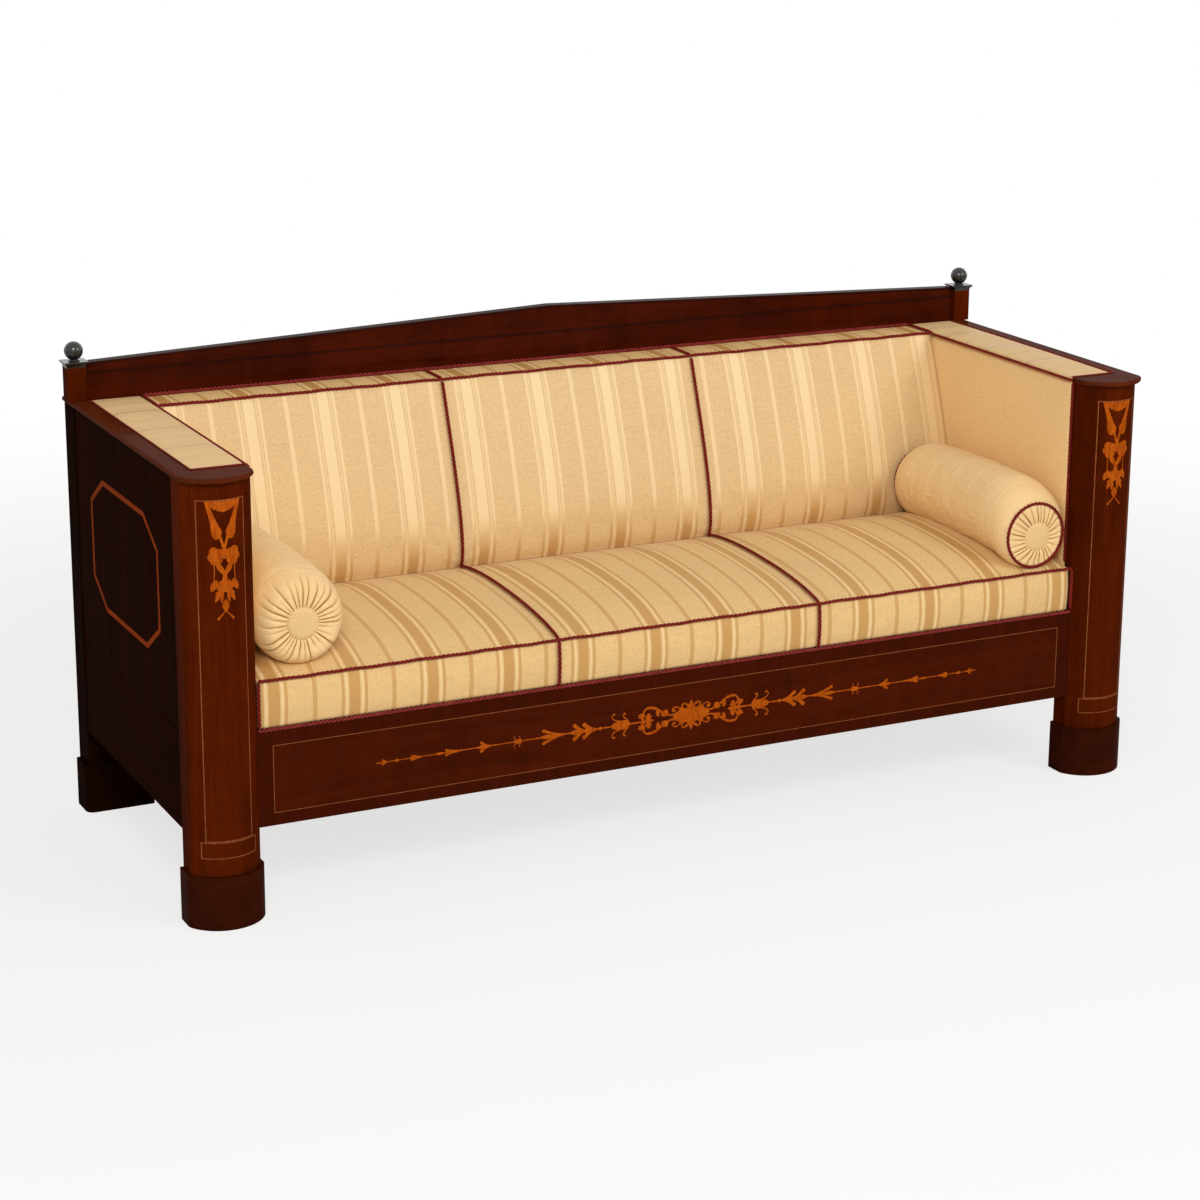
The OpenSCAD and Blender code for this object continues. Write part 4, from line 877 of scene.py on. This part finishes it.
def arm_cords():
    """Cords along the inner top edge and down the front of each arm, and the welt of its top pad."""
    edge_x = ARM_FACE - CORD_OFF + SUNK
    front_x, front_y = PILLAR_IN - CORD_OFF, PAD_Y - CORD_OFF
    top = [(front_x, front_y + 0.001, BAND_TOP - 0.002), (edge_x + 0.003, PAD_Y - 0.001, BAND_TOP - 0.0005),
           (edge_x, PAD_Y + 0.006, BAND_TOP), (edge_x, BACK_TOP_Y - 0.012, BAND_TOP),
           (edge_x, BACK_TOP_Y + 0.004, BAND_TOP + CORD_OFF), (edge_x, CREST_Y - 0.001, BAND_TOP + CORD_OFF)]
    front = [(front_x, front_y, FOOT_Z - 0.012), (front_x, front_y, ARM_H)]
    welt_x, welt_y = MARGIN_X - 0.0022, PAD_Y + 0.0022
    welt = [(ARM_FACE + 0.001, welt_y, WELT_Z), (welt_x - 0.004, welt_y, WELT_Z),
            (welt_x - 0.001, welt_y + 0.001, WELT_Z), (welt_x, welt_y + 0.004, WELT_Z),
            (welt_x, CREST_Y - 0.013, WELT_Z)]
    parts = []
    for side in (-1, 1):
        for path, up, kind in ((top, (1, 0, 0), CORD), (front, (0, 1, 0), CORD), (welt, (0, 0, 1), WELT)):
            parts.append(rope([(side * x, y, z) for x, y, z in path], up=up, **kind))
    ropes("arm_piping", parts, "arm_cords")


def braids():
    """Flat braids under the border and along the foot of the crest."""
    low_x, low_y = PILLAR_IN - 0.0005, RAIL_SETBACK - BRAID_HALF
    high_x, high_y, high_z = ARM_FACE - 0.006, CREST_Y - BRAID_HALF, BAND_TOP + 0.0045
    parts = [rope([(-low_x, low_y, SEAT_BASE), (low_x, low_y, SEAT_BASE)], **BRAID),
             rope([(-high_x, high_y, high_z), (high_x, high_y, high_z)], **BRAID)]
    ropes("braid_trim", parts, "braid", BRAID_RED, "braid")


# Bolsters

FACE_DEPTH = 0.0032
UNDER_BUTTON = 0.004
BODY_STEPS = 40
PRESSED = 0.004
END_FLAT = 0.006
END_REACH = 0.069
AROUND = 480

# Pleats are (count, seed, shortest reach as a share of fade_over, sharpness). The longest creases reach
# fade_over from the button, height is their depth, and the broad stripe lies at stripe from the button.
# base is how high the middle of an end lies above the seat, and droop how far its button lies off it.
LEFT_BOLSTER = dict(
    side=-1, cx=LEFT_X, r=LEFT_R, face_r=GATHER_R - 0.011, rounding=0.050, base=LEFT_R,
    pleats=(31, 13, 0.30, 0.5), height=0.0066, fade_over=0.095, stripe=0.100, droop=(0, 0))
RIGHT_BOLSTER = dict(
    side=1, cx=RIGHT_X, r=RIGHT_R, face_r=RING_R - 0.007, rounding=0.045, base=RING_R + CORD_D / 2,
    pleats=(27, 42, 0.75, 0.6), height=0.0064, fade_over=0.052, stripe=0.110, droop=(0.009, -0.006))


def seat_u(y):
    """Share of the seat's depth at a place."""
    return (y - BORDER_Y) / (SEAT_BACK_Y - BORDER_Y)


def seat_under(x, y):
    """Lowest level that a bolster may reach above the seat, on its own side."""
    s = np.clip((2 * x - ARM_FACE - DIVISION) / (ARM_FACE - DIVISION), -1, 1)
    return seat_height(seat_u(y), s) + 0.0009


def soft_max(a, b):
    """Larger of two lengths, rounded where they are close."""
    k = np.clip(0.5 + 0.5 * (a - b) / PRESSED, 0, 1)
    return b + (a - b) * k + PRESSED * k * (1 - k)


def body_axis(y, r):
    """Height of a bolster's axis between its ends."""
    return EDGE_Z + BOLSTER_LIFT + r + BOLSTER_FOLLOW * arch(seat_u(y))


def gathers(angle, pleats, end, fade):
    """Height of irregular gathers round an end, from 0 in a deep crease to 1 between the creases.
    Each crease has its own depth, and its own share of fade where it has died out. The long ones
    are mostly the deep ones."""
    count, seed, shortest, sharp = pleats
    draw = np.random.default_rng(seed + end)
    length = draw.uniform(0, 1, count)
    reach = shortest + (1 - shortest) * length
    depth = 0.55 + 0.30 * length + draw.uniform(0, 0.15, count)
    turn = draw.uniform(0, 2 * math.pi, 4)
    wander = (0.60 * np.sin(3 * angle + turn[0]) + 0.40 * np.sin(8 * angle + turn[1])
              + 0.20 * np.sin(13 * angle + turn[2]) + 0.9 * fade * np.sin(5 * angle + turn[3]))
    phase = count * angle / 2 + wander
    crease = np.floor(phase / math.pi).astype(int) % count
    left = np.clip(1 - fade / reach[crease], 0, 1) ** 0.5
    return 1 - depth[crease] * left * (1 - np.abs(np.cos(phase)) ** sharp)


def end_profile(face_r, r, rounding):
    """Rows of an end from under its button to the full radius: distance in from the end, radius,
    and the direction outwards as its parts along Y and along the radius."""
    rows = [(END_DISH, BUTTON_R - UNDER_BUTTON, 1, 0), (END_DISH - 0.001, BUTTON_R, 1, 0),
            (FACE_DEPTH + 0.0014, BUTTON_R + 0.004, 1, 0)]
    rows += [(FACE_DEPTH, radius, 1, 0) for radius in np.linspace(BUTTON_R + 0.009, face_r, 5)]
    for a in np.radians(np.arange(7.5, 91, 7.5)):
        out = np.array([math.cos(a) / rounding, math.sin(a) / (r - face_r)])
        out /= np.linalg.norm(out)
        rows.append((FACE_DEPTH + rounding * (1 - math.cos(a)), face_r + (r - face_r) * math.sin(a), *out))
    return rows


def wrinkles(angles, d, seed):
    """Short fine ridges across the cover of a bolster."""
    wave = np.array([noise.noise(Vector((math.cos(a) * 1.9, math.sin(a) * 1.9, d * 36 + seed)))
                     for a in angles])
    return 0.0022 * np.maximum(0, 1 - np.abs(wave) * 6) ** 1.6 - 0.0003


def bolster_rows(face_r, r, rounding, length):
    """Rows of a bolster from end to end: distance from its front, which end is near, radius, distance
    over the cloth from the button's rim, and the direction outwards."""
    profile = end_profile(face_r, r, rounding)
    steps = [math.dist(a[:2], b[:2]) for a, b in zip(profile, profile[1:])]
    cloth = np.concatenate([[-UNDER_BUTTON], np.cumsum(steps) - UNDER_BUTTON])
    front = [(d, 1, radius, along, *out) for (d, radius, *out), along in zip(profile, cloth)]
    back = [(length - d, -1, *rest) for d, _, *rest in front[::-1]]
    end_d = profile[-1][0]
    body = []
    for d in np.linspace(end_d, length - end_d, BODY_STEPS)[1:-1]:
        near = min(d, length - d)
        body.append((d, 1 if near == d else -1, r, cloth[-1] + near - end_d, 0, 1))
    return front + body + back


def bolster(name, node, side, cx, r, face_r, rounding, base, pleats, height, fade_over, stripe, droop):
    """Bolster lying along the arm, flattened on the seat and against the arm, with pleated ends."""
    angles = np.arange(AROUND) * 2 * math.pi / AROUND
    length = BOLSTER_BACK_Y - BOLSTER_Y
    end_z = {1: float(seat_under(cx, BOLSTER_Y + END_ROUND / 4)) + base,
             -1: float(seat_under(cx, BOLSTER_BACK_Y - END_ROUND / 4)) + base}
    rings, creases, runs = [], [], []
    for d, end, radius, along, out_y, out_r in bolster_rows(face_r, r, rounding, length):
        share = np.clip(1 - (min(d, length - d) - END_FLAT) / END_REACH, 0, 1) ** 1.5
        gather = gathers(angles, pleats, end, min(max(along, 0) / fade_over, 1))
        rise = height * np.clip((radius - BUTTON_R + 0.002) / 0.010, 0, 1) * (gather - 0.8)
        full_r = radius + out_r * rise
        if share < 0.5:
            full_r = full_r + wrinkles(angles, d, pleats[1]) * (1 - 2 * share)
        inner = np.clip((face_r - radius) / (face_r - BUTTON_R), 0, 1)
        y = BOLSTER_Y + d - end * out_y * rise
        x = cx + inner * droop[0] - full_r * np.cos(angles)
        x = -soft_max(-x, np.full_like(x, -BOLSTER_SIDE))
        axis_z = share * end_z[end] + (1 - share) * body_axis(BOLSTER_Y + d, r) + inner * droop[1]
        z = soft_max(axis_z + full_r * np.sin(angles), seat_under(x, y))
        rings.append(np.stack([side * x, y, z], axis=1))
        # Painted shade: how dark the material paints each point in the creases of the gathers
        creases.append(np.clip(2.1 * (1 - gather) - 0.35, 0, 1))
        runs.append(np.full(AROUND, along - stripe))
    obj = loft(name, rings, BOLSTER_SILK, body=node, slot="striped_silk")
    set_attribute(obj, "crease", creases)
    set_attribute(obj, "cloth", runs)
    cover(obj, node)
    return end_z


# Half section of a button from its middle to its rim, as radius and depth behind its face
BUTTON_SECTION = [(0.002, 0.0), (0.010, -0.0001), (0.018, -0.0004), (0.024, -0.0011),
                  (0.0275, -0.0026), (0.0290, -0.0048), (0.0287, -0.0066), (0.0270, -0.0078)]
BUTTON_RIM = 0.029


def buttons(name, body, side, cx, end_z, droop, sink):
    """Covered buttons of the two ends, soft at the rim and sunk in the end."""
    verts, faces = [], []
    angles = np.arange(72) * 2 * math.pi / 72
    for end, y in ((1, BOLSTER_Y), (-1, BOLSTER_BACK_Y)):
        start = len(verts)
        for section_r, back in BUTTON_SECTION:
            radius = section_r * BUTTON_R / BUTTON_RIM
            for a in angles:
                drawn = 0.0003 * math.cos(24 * a) * max(0.0, (radius - 0.02) / 0.009)
                verts.append((side * (cx + droop[0] - radius * math.cos(a)), y + end * (sink - back + drawn),
                              end_z[end] + droop[1] + radius * math.sin(a)))
        faces += [tuple(i + start for i in f) for f in loft_faces(len(BUTTON_SECTION), len(angles))]
    obj = piece(name, home(verts), faces, BUTTON_SILK, body=body, slot="striped_silk")
    cover(obj, body + "_buttons")


def ring_cords(end_z):
    """Cord ring on each end of the right bolster."""
    parts = []
    for end, y in ((1, BOLSTER_Y), (-1, BOLSTER_BACK_Y)):
        circle = [(RIGHT_X - RING_R * math.cos(a), y + end * 0.0012, end_z[end] + RING_R * math.sin(a))
                  for a in np.linspace(0, 2 * math.pi, 181)]
        parts.append(rope(circle, up=(0, 1, 0), closed=True, **CORD))
    ropes("bolster_right_piping", parts, "bolster_right_cords", body="bolster_right")


def bolsters():
    """Both bolsters, each with its buttons, and the cord rings of the right one."""
    left_z = bolster("bolster_left_cover", "bolster_left", **LEFT_BOLSTER)
    right_z = bolster("bolster_right_cover", "bolster_right", **RIGHT_BOLSTER)
    buttons("bolster_left_studs", "bolster_left", -1, LEFT_X, left_z, LEFT_BOLSTER["droop"], 0.0010)
    buttons("bolster_right_studs", "bolster_right", 1, RIGHT_X, right_z, RIGHT_BOLSTER["droop"], 0.0030)
    ring_cords(right_z)


# Inlays: thin solids that stand a hair proud of the veneer

INLAY_UP = 0.12 * MM
INLAY_DOWN = 0.25 * MM
INLAY_STEP = 0.003 * MM
INLAY_LEVELS = 53
BOW_CUT = 4 * MM


def leaf(x, z, angle, length, width, bend=0, count=9):
    """Pointed leaf from its foot, with an angle in degrees and a bend over its length."""
    left, right = [], []
    px, pz = x, z
    step = length / (count - 1)
    for i in range(count):
        t = i / (count - 1)
        a = math.radians(angle + bend * t)
        half = width / 2 * math.sin(math.pi * min(1, t * 0.93 + 0.05)) ** 0.85
        left.append((px - half * math.sin(a), pz + half * math.cos(a)))
        right.append((px + half * math.sin(a), pz - half * math.cos(a)))
        px += step * math.cos(a)
        pz += step * math.sin(a)
    return left + right[::-1]


def ribbon(points, w0, w1):
    """Strip along points, with a width that changes evenly from w0 to w1."""
    points = np.array(points, float)
    run = np.gradient(points, axis=0)
    run /= np.maximum(np.linalg.norm(run, axis=1), 1e-9)[:, None]
    half = np.linspace(w0, w1, len(points))[:, None] / 2
    side = np.stack([-run[:, 1], run[:, 0]], axis=1) * half
    return [tuple(p) for p in points + side] + [tuple(p) for p in (points - side)[::-1]]


def disc(x, z, r, count=14):
    """Round shape as a polygon."""
    return [(x + r * math.cos(a), z + r * math.sin(a)) for a in np.arange(count) * 2 * math.pi / count]


def bar(x0, z0, x1, z1):
    return [(x0, z0), (x1, z0), (x1, z1), (x0, z1)]


def flip_z(shape):
    return [(x, -z) for x, z in shape[::-1]]


def flip_x(shape):
    return [(-x, z) for x, z in shape[::-1]]


def inlay(name, shapes, place, material, cut=None):
    """Closed thin solids from flat shapes in millimetres. place(u, v, h) gives a point h above the
    surface. cut is the widest strip that is laid on a bent surface. Shapes that overlap lie a step
    above each other."""
    verts, faces = [], []
    for number, shape in enumerate(shapes):
        bm = bmesh.new()
        corners = [bm.verts.new((u * MM, v * MM, 0)) for u, v in shape]
        bm.faces.new(corners)
        bmesh.ops.triangulate(bm, faces=bm.faces[:])
        if cut:
            us = [c[0] * MM for c in shape]
            for at in np.arange(math.floor(min(us) / cut) + 1, math.ceil(max(us) / cut)) * cut:
                bmesh.ops.bisect_plane(bm, geom=bm.verts[:] + bm.edges[:] + bm.faces[:], dist=1e-7,
                                       plane_co=(at, 0, 0), plane_no=(1, 0, 0))
        bm.verts.index_update()
        flat = [tuple(v.co[:2]) for v in bm.verts]
        top, count = len(verts), len(flat)
        up = INLAY_UP + INLAY_STEP * (number % INLAY_LEVELS)
        verts += [place(u, v, up) for u, v in flat] + [place(u, v, -INLAY_DOWN) for u, v in flat]
        for f in bm.faces:
            ids = [v.index + top for v in f.verts]
            faces += [tuple(ids), tuple(i + count for i in ids[::-1])]
        for e in bm.edges:
            if len(e.link_faces) == 1:
                loop = e.link_loops[0]
                a, b = loop.vert.index + top, loop.link_loop_next.vert.index + top
                faces.append((b, a, a + count, b + count))
        bm.free()
    piece(name, home(verts), faces, material, slot="marquetry", smooth=False)


def on_rail(u, v, h):
    """Points on the front of the front rail."""
    return (u, RAIL_SETBACK - h, v)


def on_bow(side):
    """Points on the bowed face of the pillar on a side."""
    def place(u, v, h):
        a = math.asin(max(-1.0, min(1.0, (u - BOW_X) / BOW_R)))
        return (side * (BOW_X + (BOW_R + h) * math.sin(a)), BOW_Y - (BOW_R + h) * math.cos(a), v)
    return place


def on_side(side):
    """Points on the outer face of the side panel on a side."""
    def place(u, v, h):
        return (side * (SIDE_FACE + h), u, v)
    return place


RAIL_AXIS = 261


# The marquetry of the rail is drawn in millimetres from its middle, and its right half is mirrored

def rosette():
    """Oval flower at the middle of the front rail, with leaves and hooked petals."""
    quarter = [
        leaf(0, 12, 90, 19, 8), leaf(4, 13, 68, 12, 5), leaf(24, 0, 0, 17, 12), leaf(24, 3, 28, 12, 6),
        ribbon([(15, 12), (20.5, 17), (20, 23), (14.5, 25.5), (10, 23)], 4.2, 3.0),
        disc(11, 22, 2.6), disc(22, 13, 5), disc(26, 8, 4.5),
    ]
    half = quarter + [flip_z(s) for s in quarter]
    oval = [(26 * math.cos(a), 16 * math.sin(a)) for a in np.arange(32) * 2 * math.pi / 32]
    return [oval] + half + [flip_x(s) for s in half]


def scrolls():
    """Curls and a pair of leafy scrolls on the right of the rosette."""
    upper = [
        ribbon([(24, 15), (30, 19.5), (37, 20.5), (41.5, 17), (41, 12.5), (37, 11.5)], 2.8, 3.0),
        disc(37.5, 13, 3.2), ribbon([(29, 7), (38, 5.2), (46, 4.8), (54, 8)], 2.6, 4.4),
        leaf(51, 7, 45, 15, 9), leaf(52, 7, 5, 15, 7), leaf(54, 9, 88, 9, 6),
        ribbon([(59, 10), (66, 14.5), (74, 21), (82, 25.5), (91, 27.3), (99, 26), (104.5, 21), (105, 14),
                (101, 8.5), (95, 8)], 4.2, 3.4),
        ribbon([(70, 18), (78, 23.2), (87, 26.2), (95, 26.3)], 4.5, 5.5), disc(94, 11.5, 4.2),
        leaf(76, 21, -108, 16, 8, 12), leaf(71, 15, -55, 9, 5),
        leaf(104, 9, 18, 15, 6.5, 10), leaf(107, 11, 62, 8, 4.5), leaf(109, 11, -22, 8, 4),
        leaf(101, 3, 158, 15, 7), leaf(103, 2.5, 30, 11, 5),
    ]
    lower = [flip_z(s) for s in upper]
    return upper + lower + [ribbon([(96, 0), (135, 0)], 5.0, 2.6), leaf(107, 0, 180, 25, 8)]


def tendril(points, size, foot, tip):
    """Thin curl with a round end, and its mirror image across the stem."""
    curl = [ribbon([(foot + size * u, size * v) for u, v in points], 2.8 * size, 2.0 * size),
            disc(foot + size * points[-1][0], size * points[-1][1], tip * size)]
    return curl + [flip_z(s) for s in curl]


def bellflower(foot, size):
    """Bell on the stem that opens away from the middle, with two pairs of curled tendrils."""
    outline = [(-2, 1.2), (4, 4), (8, 8.2), (14, 9.6), (21, 9.2), (28, 7.6), (35, 6.6), (40, 4.0), (41.5, 0)]
    near_curl = [(4, 5), (8.5, 10.5), (13, 14.5), (16, 18), (15.5, 21), (13, 22)]
    far_curl = [(18, 8), (26, 9), (33, 11), (38.5, 15), (40.5, 19.5), (39, 23), (35.5, 24)]
    bell = [(foot + size * u, size * v) for u, v in outline]
    tendrils = tendril(near_curl, size, foot, 2.6) + tendril(far_curl, size, foot, 2.5)
    return [bell + flip_z(bell[:-1])] + tendrils


def spread_leaves(foot, reach, spread, width, bud=1.28):
    """Two leaves that part from the stem and curl outwards at their tips, round a bud."""
    path = [(0, 0), (0.30, 0.16), (0.58, 0.42), (0.82, 0.74), (1.0, 1.0)]
    points = [(foot + reach * u, spread * v) for u, v in path]
    arm = [ribbon(points, 0.7 * width, 1.35 * width), disc(points[-1][0], points[-1][1], 0.78 * width)]
    shapes = arm + [flip_z(s) for s in arm]
    shapes.append(leaf(foot - 0.15 * reach, 0, 0, reach, 1.5 * width))
    shapes.append(leaf(foot + reach * 0.45, 0, 0, reach * (bud - 0.45), 1.9 * width, 0, 13))
    return shapes


def arrow(foot, length, half):
    """Pointed bud that opens away from the middle to a notched edge."""
    upper = [(0, 0.12), (0.4, 0.42), (0.82, 1.0), (0.92, 0.72), (1.0, 0.2)]
    side = [(foot + length * u, half * v) for u, v in upper]
    return [side + flip_z(side)]


def rail_marquetry():
    """Band of marquetry along the front rail."""
    right = scrolls() + bellflower(134, 1.0) + [disc(200, 0, 3.6)]
    right += spread_leaves(209, 25, 12.5, 5.6, 1.1) + spread_leaves(231, 24, 13.5, 5.6, 1.38)
    right += spread_leaves(277, 44, 12.7, 4.4, 1.22) + bellflower(366, 0.46)
    right += spread_leaves(434, 18, 8.5, 3.8, 1.55) + [disc(493, 0, 2.2)]
    right += spread_leaves(497, 28, 4.6, 3.4, 1.0) + [leaf(528, 0, 0, 22, 5)]
    right += arrow(573, 26, 6) + arrow(618, 11, 4)
    right += [leaf(641, 0, 0, 25, 4.5), leaf(649, 0, 42, 9, 4), leaf(649, 0, -42, 9, 4)]
    right += [ribbon([(118, 0), (400, 0)], 3.0, 2.2), ribbon([(400, 0), (668, 0)], 2.2, 1.4)]
    shapes = rosette() + right + [flip_x(s) for s in right]
    inlay("marquetry_rail", [[(u, v + RAIL_AXIS) for u, v in s] for s in shapes], on_rail, SATINWOOD)


def frame_lines(x0, z0, x1, z1, width):
    """Four bars round a rectangle."""
    return [bar(x0, z0, x1, z0 + width), bar(x0, z1 - width, x1, z1),
            bar(x0, z0 + width, x0 + width, z1 - width), bar(x1 - width, z0 + width, x1, z1 - width)]


def rail_stringing():
    """Frame of thin line on the front rail."""
    x, low, high = RAIL_LINE_X / MM, RAIL_LINE_LOW / MM, RAIL_LINE_HIGH / MM
    inlay("stringing_rail", frame_lines(-x, low, x, high, 1.3), on_rail, BOXWOOD)


def pillar_drop():
    """Marquetry of a pillar about u = 0, hanging from v = 0: swag, drops, and pairs of flowers."""
    right = [
        disc(8.5, -12, 7), disc(16.5, -10, 6), disc(23, -7, 5),
        [(37, 0), (31, 0), (25, -12), (20, -25), (11, -44), (4, -55), (5, -63), (9, -68), (14, -70.5),
         (19.5, -69.5), (24, -62), (26, -52), (26, -42), (30, -24)],
        ribbon([(8, -65), (4, -77), (0.5, -88)], 5, 5.5),
        disc(21, -93, 9), disc(26, -103, 7.5), disc(21, -111, 7), disc(11, -98, 10.5), disc(12, -108, 8),
        ribbon([(21, -115), (21, -130), (22, -148)], 2, 2), leaf(17, -112, -124, 29, 11),
        leaf(17, -145, -62, 24, 12), disc(9, -158, 8.5), leaf(4, -146, -40, 17, 7), disc(19, -153, 6),
        leaf(8, -162, -62, 27, 9), leaf(6, -164, -84, 24, 7.5), disc(15, -171, 5),
        ribbon([(0, -203), (8, -210), (15, -217)], 2.2, 3.6), disc(15.5, -217.5, 2.5, 10),
    ]
    middle = [
        bar(-33, -8, 33, 0), disc(0, -13, 8), disc(0, -97, 10),
        ribbon([(0, -127), (0, -148), (0, -168)], 7, 15), leaf(0, -182, -90, 23, 15),
    ]
    return middle + right + [flip_x(s) for s in right]


DROP_AXIS = 966
DROP_TOP = 813
DROP_WIDTH = 0.9
PILLAR_LINE = 1.6


def pillar_inlays(side, word):
    """Marquetry drop in its frame of stringing, over a low frame, on the bow of a pillar."""
    shapes = [[(DROP_WIDTH * u + DROP_AXIS, v + DROP_TOP) for u, v in s] for s in pillar_drop()]
    inlay("marquetry_pillar_" + word, shapes, on_bow(side), SATINWOOD, BOW_CUT)
    lines = frame_lines(924, 171, 1013, 815, PILLAR_LINE) + frame_lines(916, 138, 1020, 170, PILLAR_LINE)
    inlay("stringing_pillar_" + word, lines, on_bow(side), BOXWOOD, BOW_CUT)


# Octagonal banding on the side panels: its box, the two cuts of its corners and its width
OCTAGON_Y = (141, 566)
OCTAGON_Z = (473, 737)
OCTAGON_CUT = (82, 54)
OCTAGON_W = 10


def octagon(inset):
    """Corners of the octagon, inset from its outer edge."""
    (y0, y1), (z0, z1) = OCTAGON_Y, OCTAGON_Z
    cut_y, cut_z = (cut + 0.45 * inset for cut in OCTAGON_CUT)
    return [(y0 + cut_y, z0 + inset), (y1 - cut_y, z0 + inset), (y1 - inset, z0 + cut_z),
            (y1 - inset, z1 - cut_z), (y1 - cut_y, z1 - inset), (y0 + cut_y, z1 - inset),
            (y0 + inset, z1 - cut_z), (y0 + inset, z0 + cut_z)]


def side_octagon(side, word):
    """Band of pale wood in an octagon on the side panel."""
    outer, inner = octagon(0), octagon(OCTAGON_W)
    shapes = [[outer[i], outer[(i + 1) % 8], inner[(i + 1) % 8], inner[i]] for i in range(8)]
    inlay("octagon_" + word, shapes, on_side(side), BANDING)


# Light, floor and camera

# Camera fitted to the corners of the sofa in the photograph, with its turn in degrees
CAMERA_PLACE = (-2.5445, -5.1112, 2.1043)
CAMERA_TURN = (27.05, 15.03, 0.55)
CAMERA_LENS = 86.63
CAMERA_SHIFT = (-0.0387, -0.0636)

AMBIENT = 0.5
FLOOR_REACH = 30
FLOOR_COLOUR = (0.82, 0.81, 0.79, 1)
WHITE = (1, 1, 1, 1)


def area_light(name, place, target, size, power, colour):
    data = bpy.data.lights.new(name, "AREA")
    data.shape = "RECTANGLE"
    data.size, data.size_y = size, size
    data.energy = power
    data.color = colour
    obj = bpy.data.objects.new(name, data)
    obj.location = place
    obj.rotation_euler = (Vector(target) - Vector(place)).to_track_quat("-Z", "Y").to_euler()
    bpy.context.scene.collection.objects.link(obj)


def studio_floor():
    """Pale floor that keeps the sofa's shadow and turns white away from it, as the camera sees it."""
    mesh = bpy.data.meshes.new("floor")
    corners = [(-1, -1), (1, -1), (1, 1), (-1, 1)]
    mesh.from_pydata([(FLOOR_REACH * x, FLOOR_REACH * y, 0) for x, y in corners], [], [(0, 1, 2, 3)])
    floor = bpy.data.objects.new("floor", mesh)
    bpy.context.scene.collection.objects.link(floor)
    material = bpy.data.materials.new("floor")
    material.use_nodes = True
    nodes = Nodes(material.node_tree)
    ground = nodes.add("ShaderNodeBsdfDiffuse", {"Color": FLOOR_COLOUR})
    white = nodes.add("ShaderNodeEmission", {"Color": WHITE, "Strength": 1.0})
    rays = nodes.add("ShaderNodeLightPath")
    centre = nodes.add("ShaderNodeTexCoord").outputs["Object"]
    away = nodes.add("ShaderNodeVectorMath", {0: centre}, operation="LENGTH").outputs["Value"]
    paler = nodes.rescale(away, 1.6, 4.0, 0.72, 1.0, "SMOOTHSTEP")
    part = nodes.product(rays.outputs["Is Camera Ray"], paler)
    both = nodes.add("ShaderNodeMixShader", {0: part, 1: ground.outputs[0], 2: white.outputs[0]})
    nodes.add("ShaderNodeOutputMaterial", {"Surface": both.outputs[0]})
    mesh.materials.append(material)


def studio_world():
    """White backdrop, which lights the sofa only by AMBIENT."""
    world = bpy.data.worlds.new("studio")
    world.use_nodes = True
    bpy.context.scene.world = world
    nodes = Nodes(world.node_tree)
    rays = nodes.add("ShaderNodeLightPath").outputs
    mirrored = nodes.math("MAXIMUM", rays["Is Glossy Ray"], rays["Is Transmission Ray"])
    seen = nodes.math("MAXIMUM", rays["Is Camera Ray"], mirrored)
    strength = nodes.product(seen, 1.0 - AMBIENT, AMBIENT)
    background = nodes.add("ShaderNodeBackground", {"Color": WHITE, "Strength": strength})
    nodes.add("ShaderNodeOutputWorld", {"Surface": background.outputs[0]})


def camera():
    """The camera of the photograph, from its yaw, pitch and roll."""
    yaw, pitch, roll = (math.radians(angle) for angle in CAMERA_TURN)
    forward = Vector((math.sin(yaw) * math.cos(pitch), math.cos(yaw) * math.cos(pitch), -math.sin(pitch)))
    right = Vector((math.cos(yaw), -math.sin(yaw), 0))
    up = right.cross(forward)
    right_rolled = right * math.cos(roll) + up * math.sin(roll)
    up_rolled = -right * math.sin(roll) + up * math.cos(roll)
    data = bpy.data.cameras.new("camera")
    data.sensor_width = 36
    data.lens = CAMERA_LENS
    data.shift_x, data.shift_y = CAMERA_SHIFT
    obj = bpy.data.objects.new("camera", data)
    rotation = Matrix((right_rolled, up_rolled, -forward)).transposed()
    obj.matrix_world = Matrix.Translation(CAMERA_PLACE) @ rotation.to_4x4()
    bpy.context.scene.collection.objects.link(obj)
    bpy.context.scene.camera = obj


SECTIONS = {"left": (-ARM_FACE, -DIVISION), "middle": (-DIVISION, DIVISION), "right": (DIVISION, ARM_FACE)}

dress_nodes()
for word, (x0, x1) in SECTIONS.items():
    seat_section("seat_" + word + "_cover", "seat_" + word, x0, x1)
for word, (x0, x1) in SECTIONS.items():
    back_section("back_" + word + "_cover", "back_" + word, x0, x1)
band("band_left", *SECTIONS["left"])
band("band_right", *SECTIONS["right"])
band("band_middle", *SECTIONS["middle"], node="back_top_pads")
for word, way in (("left", -1), ("right", 1)):
    arm_top_pad("arm_top_cover_" + word, "arm_top_pad_" + word, way)
    arm_lining("arm_lining_" + word, "arm_upholstery_" + word, way)
    pillar_inlays(way, word)
    side_octagon(way, word)
seat_cords()
back_cords()
arm_cords()
braids()
bolsters()
rail_marquetry()
rail_stringing()
camera()
studio_floor()
studio_world()
area_light("key", (-2.4, -4.6, 3.9), (0.1, 0.1, 0.5), 1.8, 155, (1.0, 0.96, 0.91))
area_light("fill", (2.8, -4.0, 3.3), (0.0, 0.1, 0.5), 2.2, 80, (1.0, 0.97, 0.93))

scene = bpy.context.scene
scene.view_settings.view_transform = "Standard"
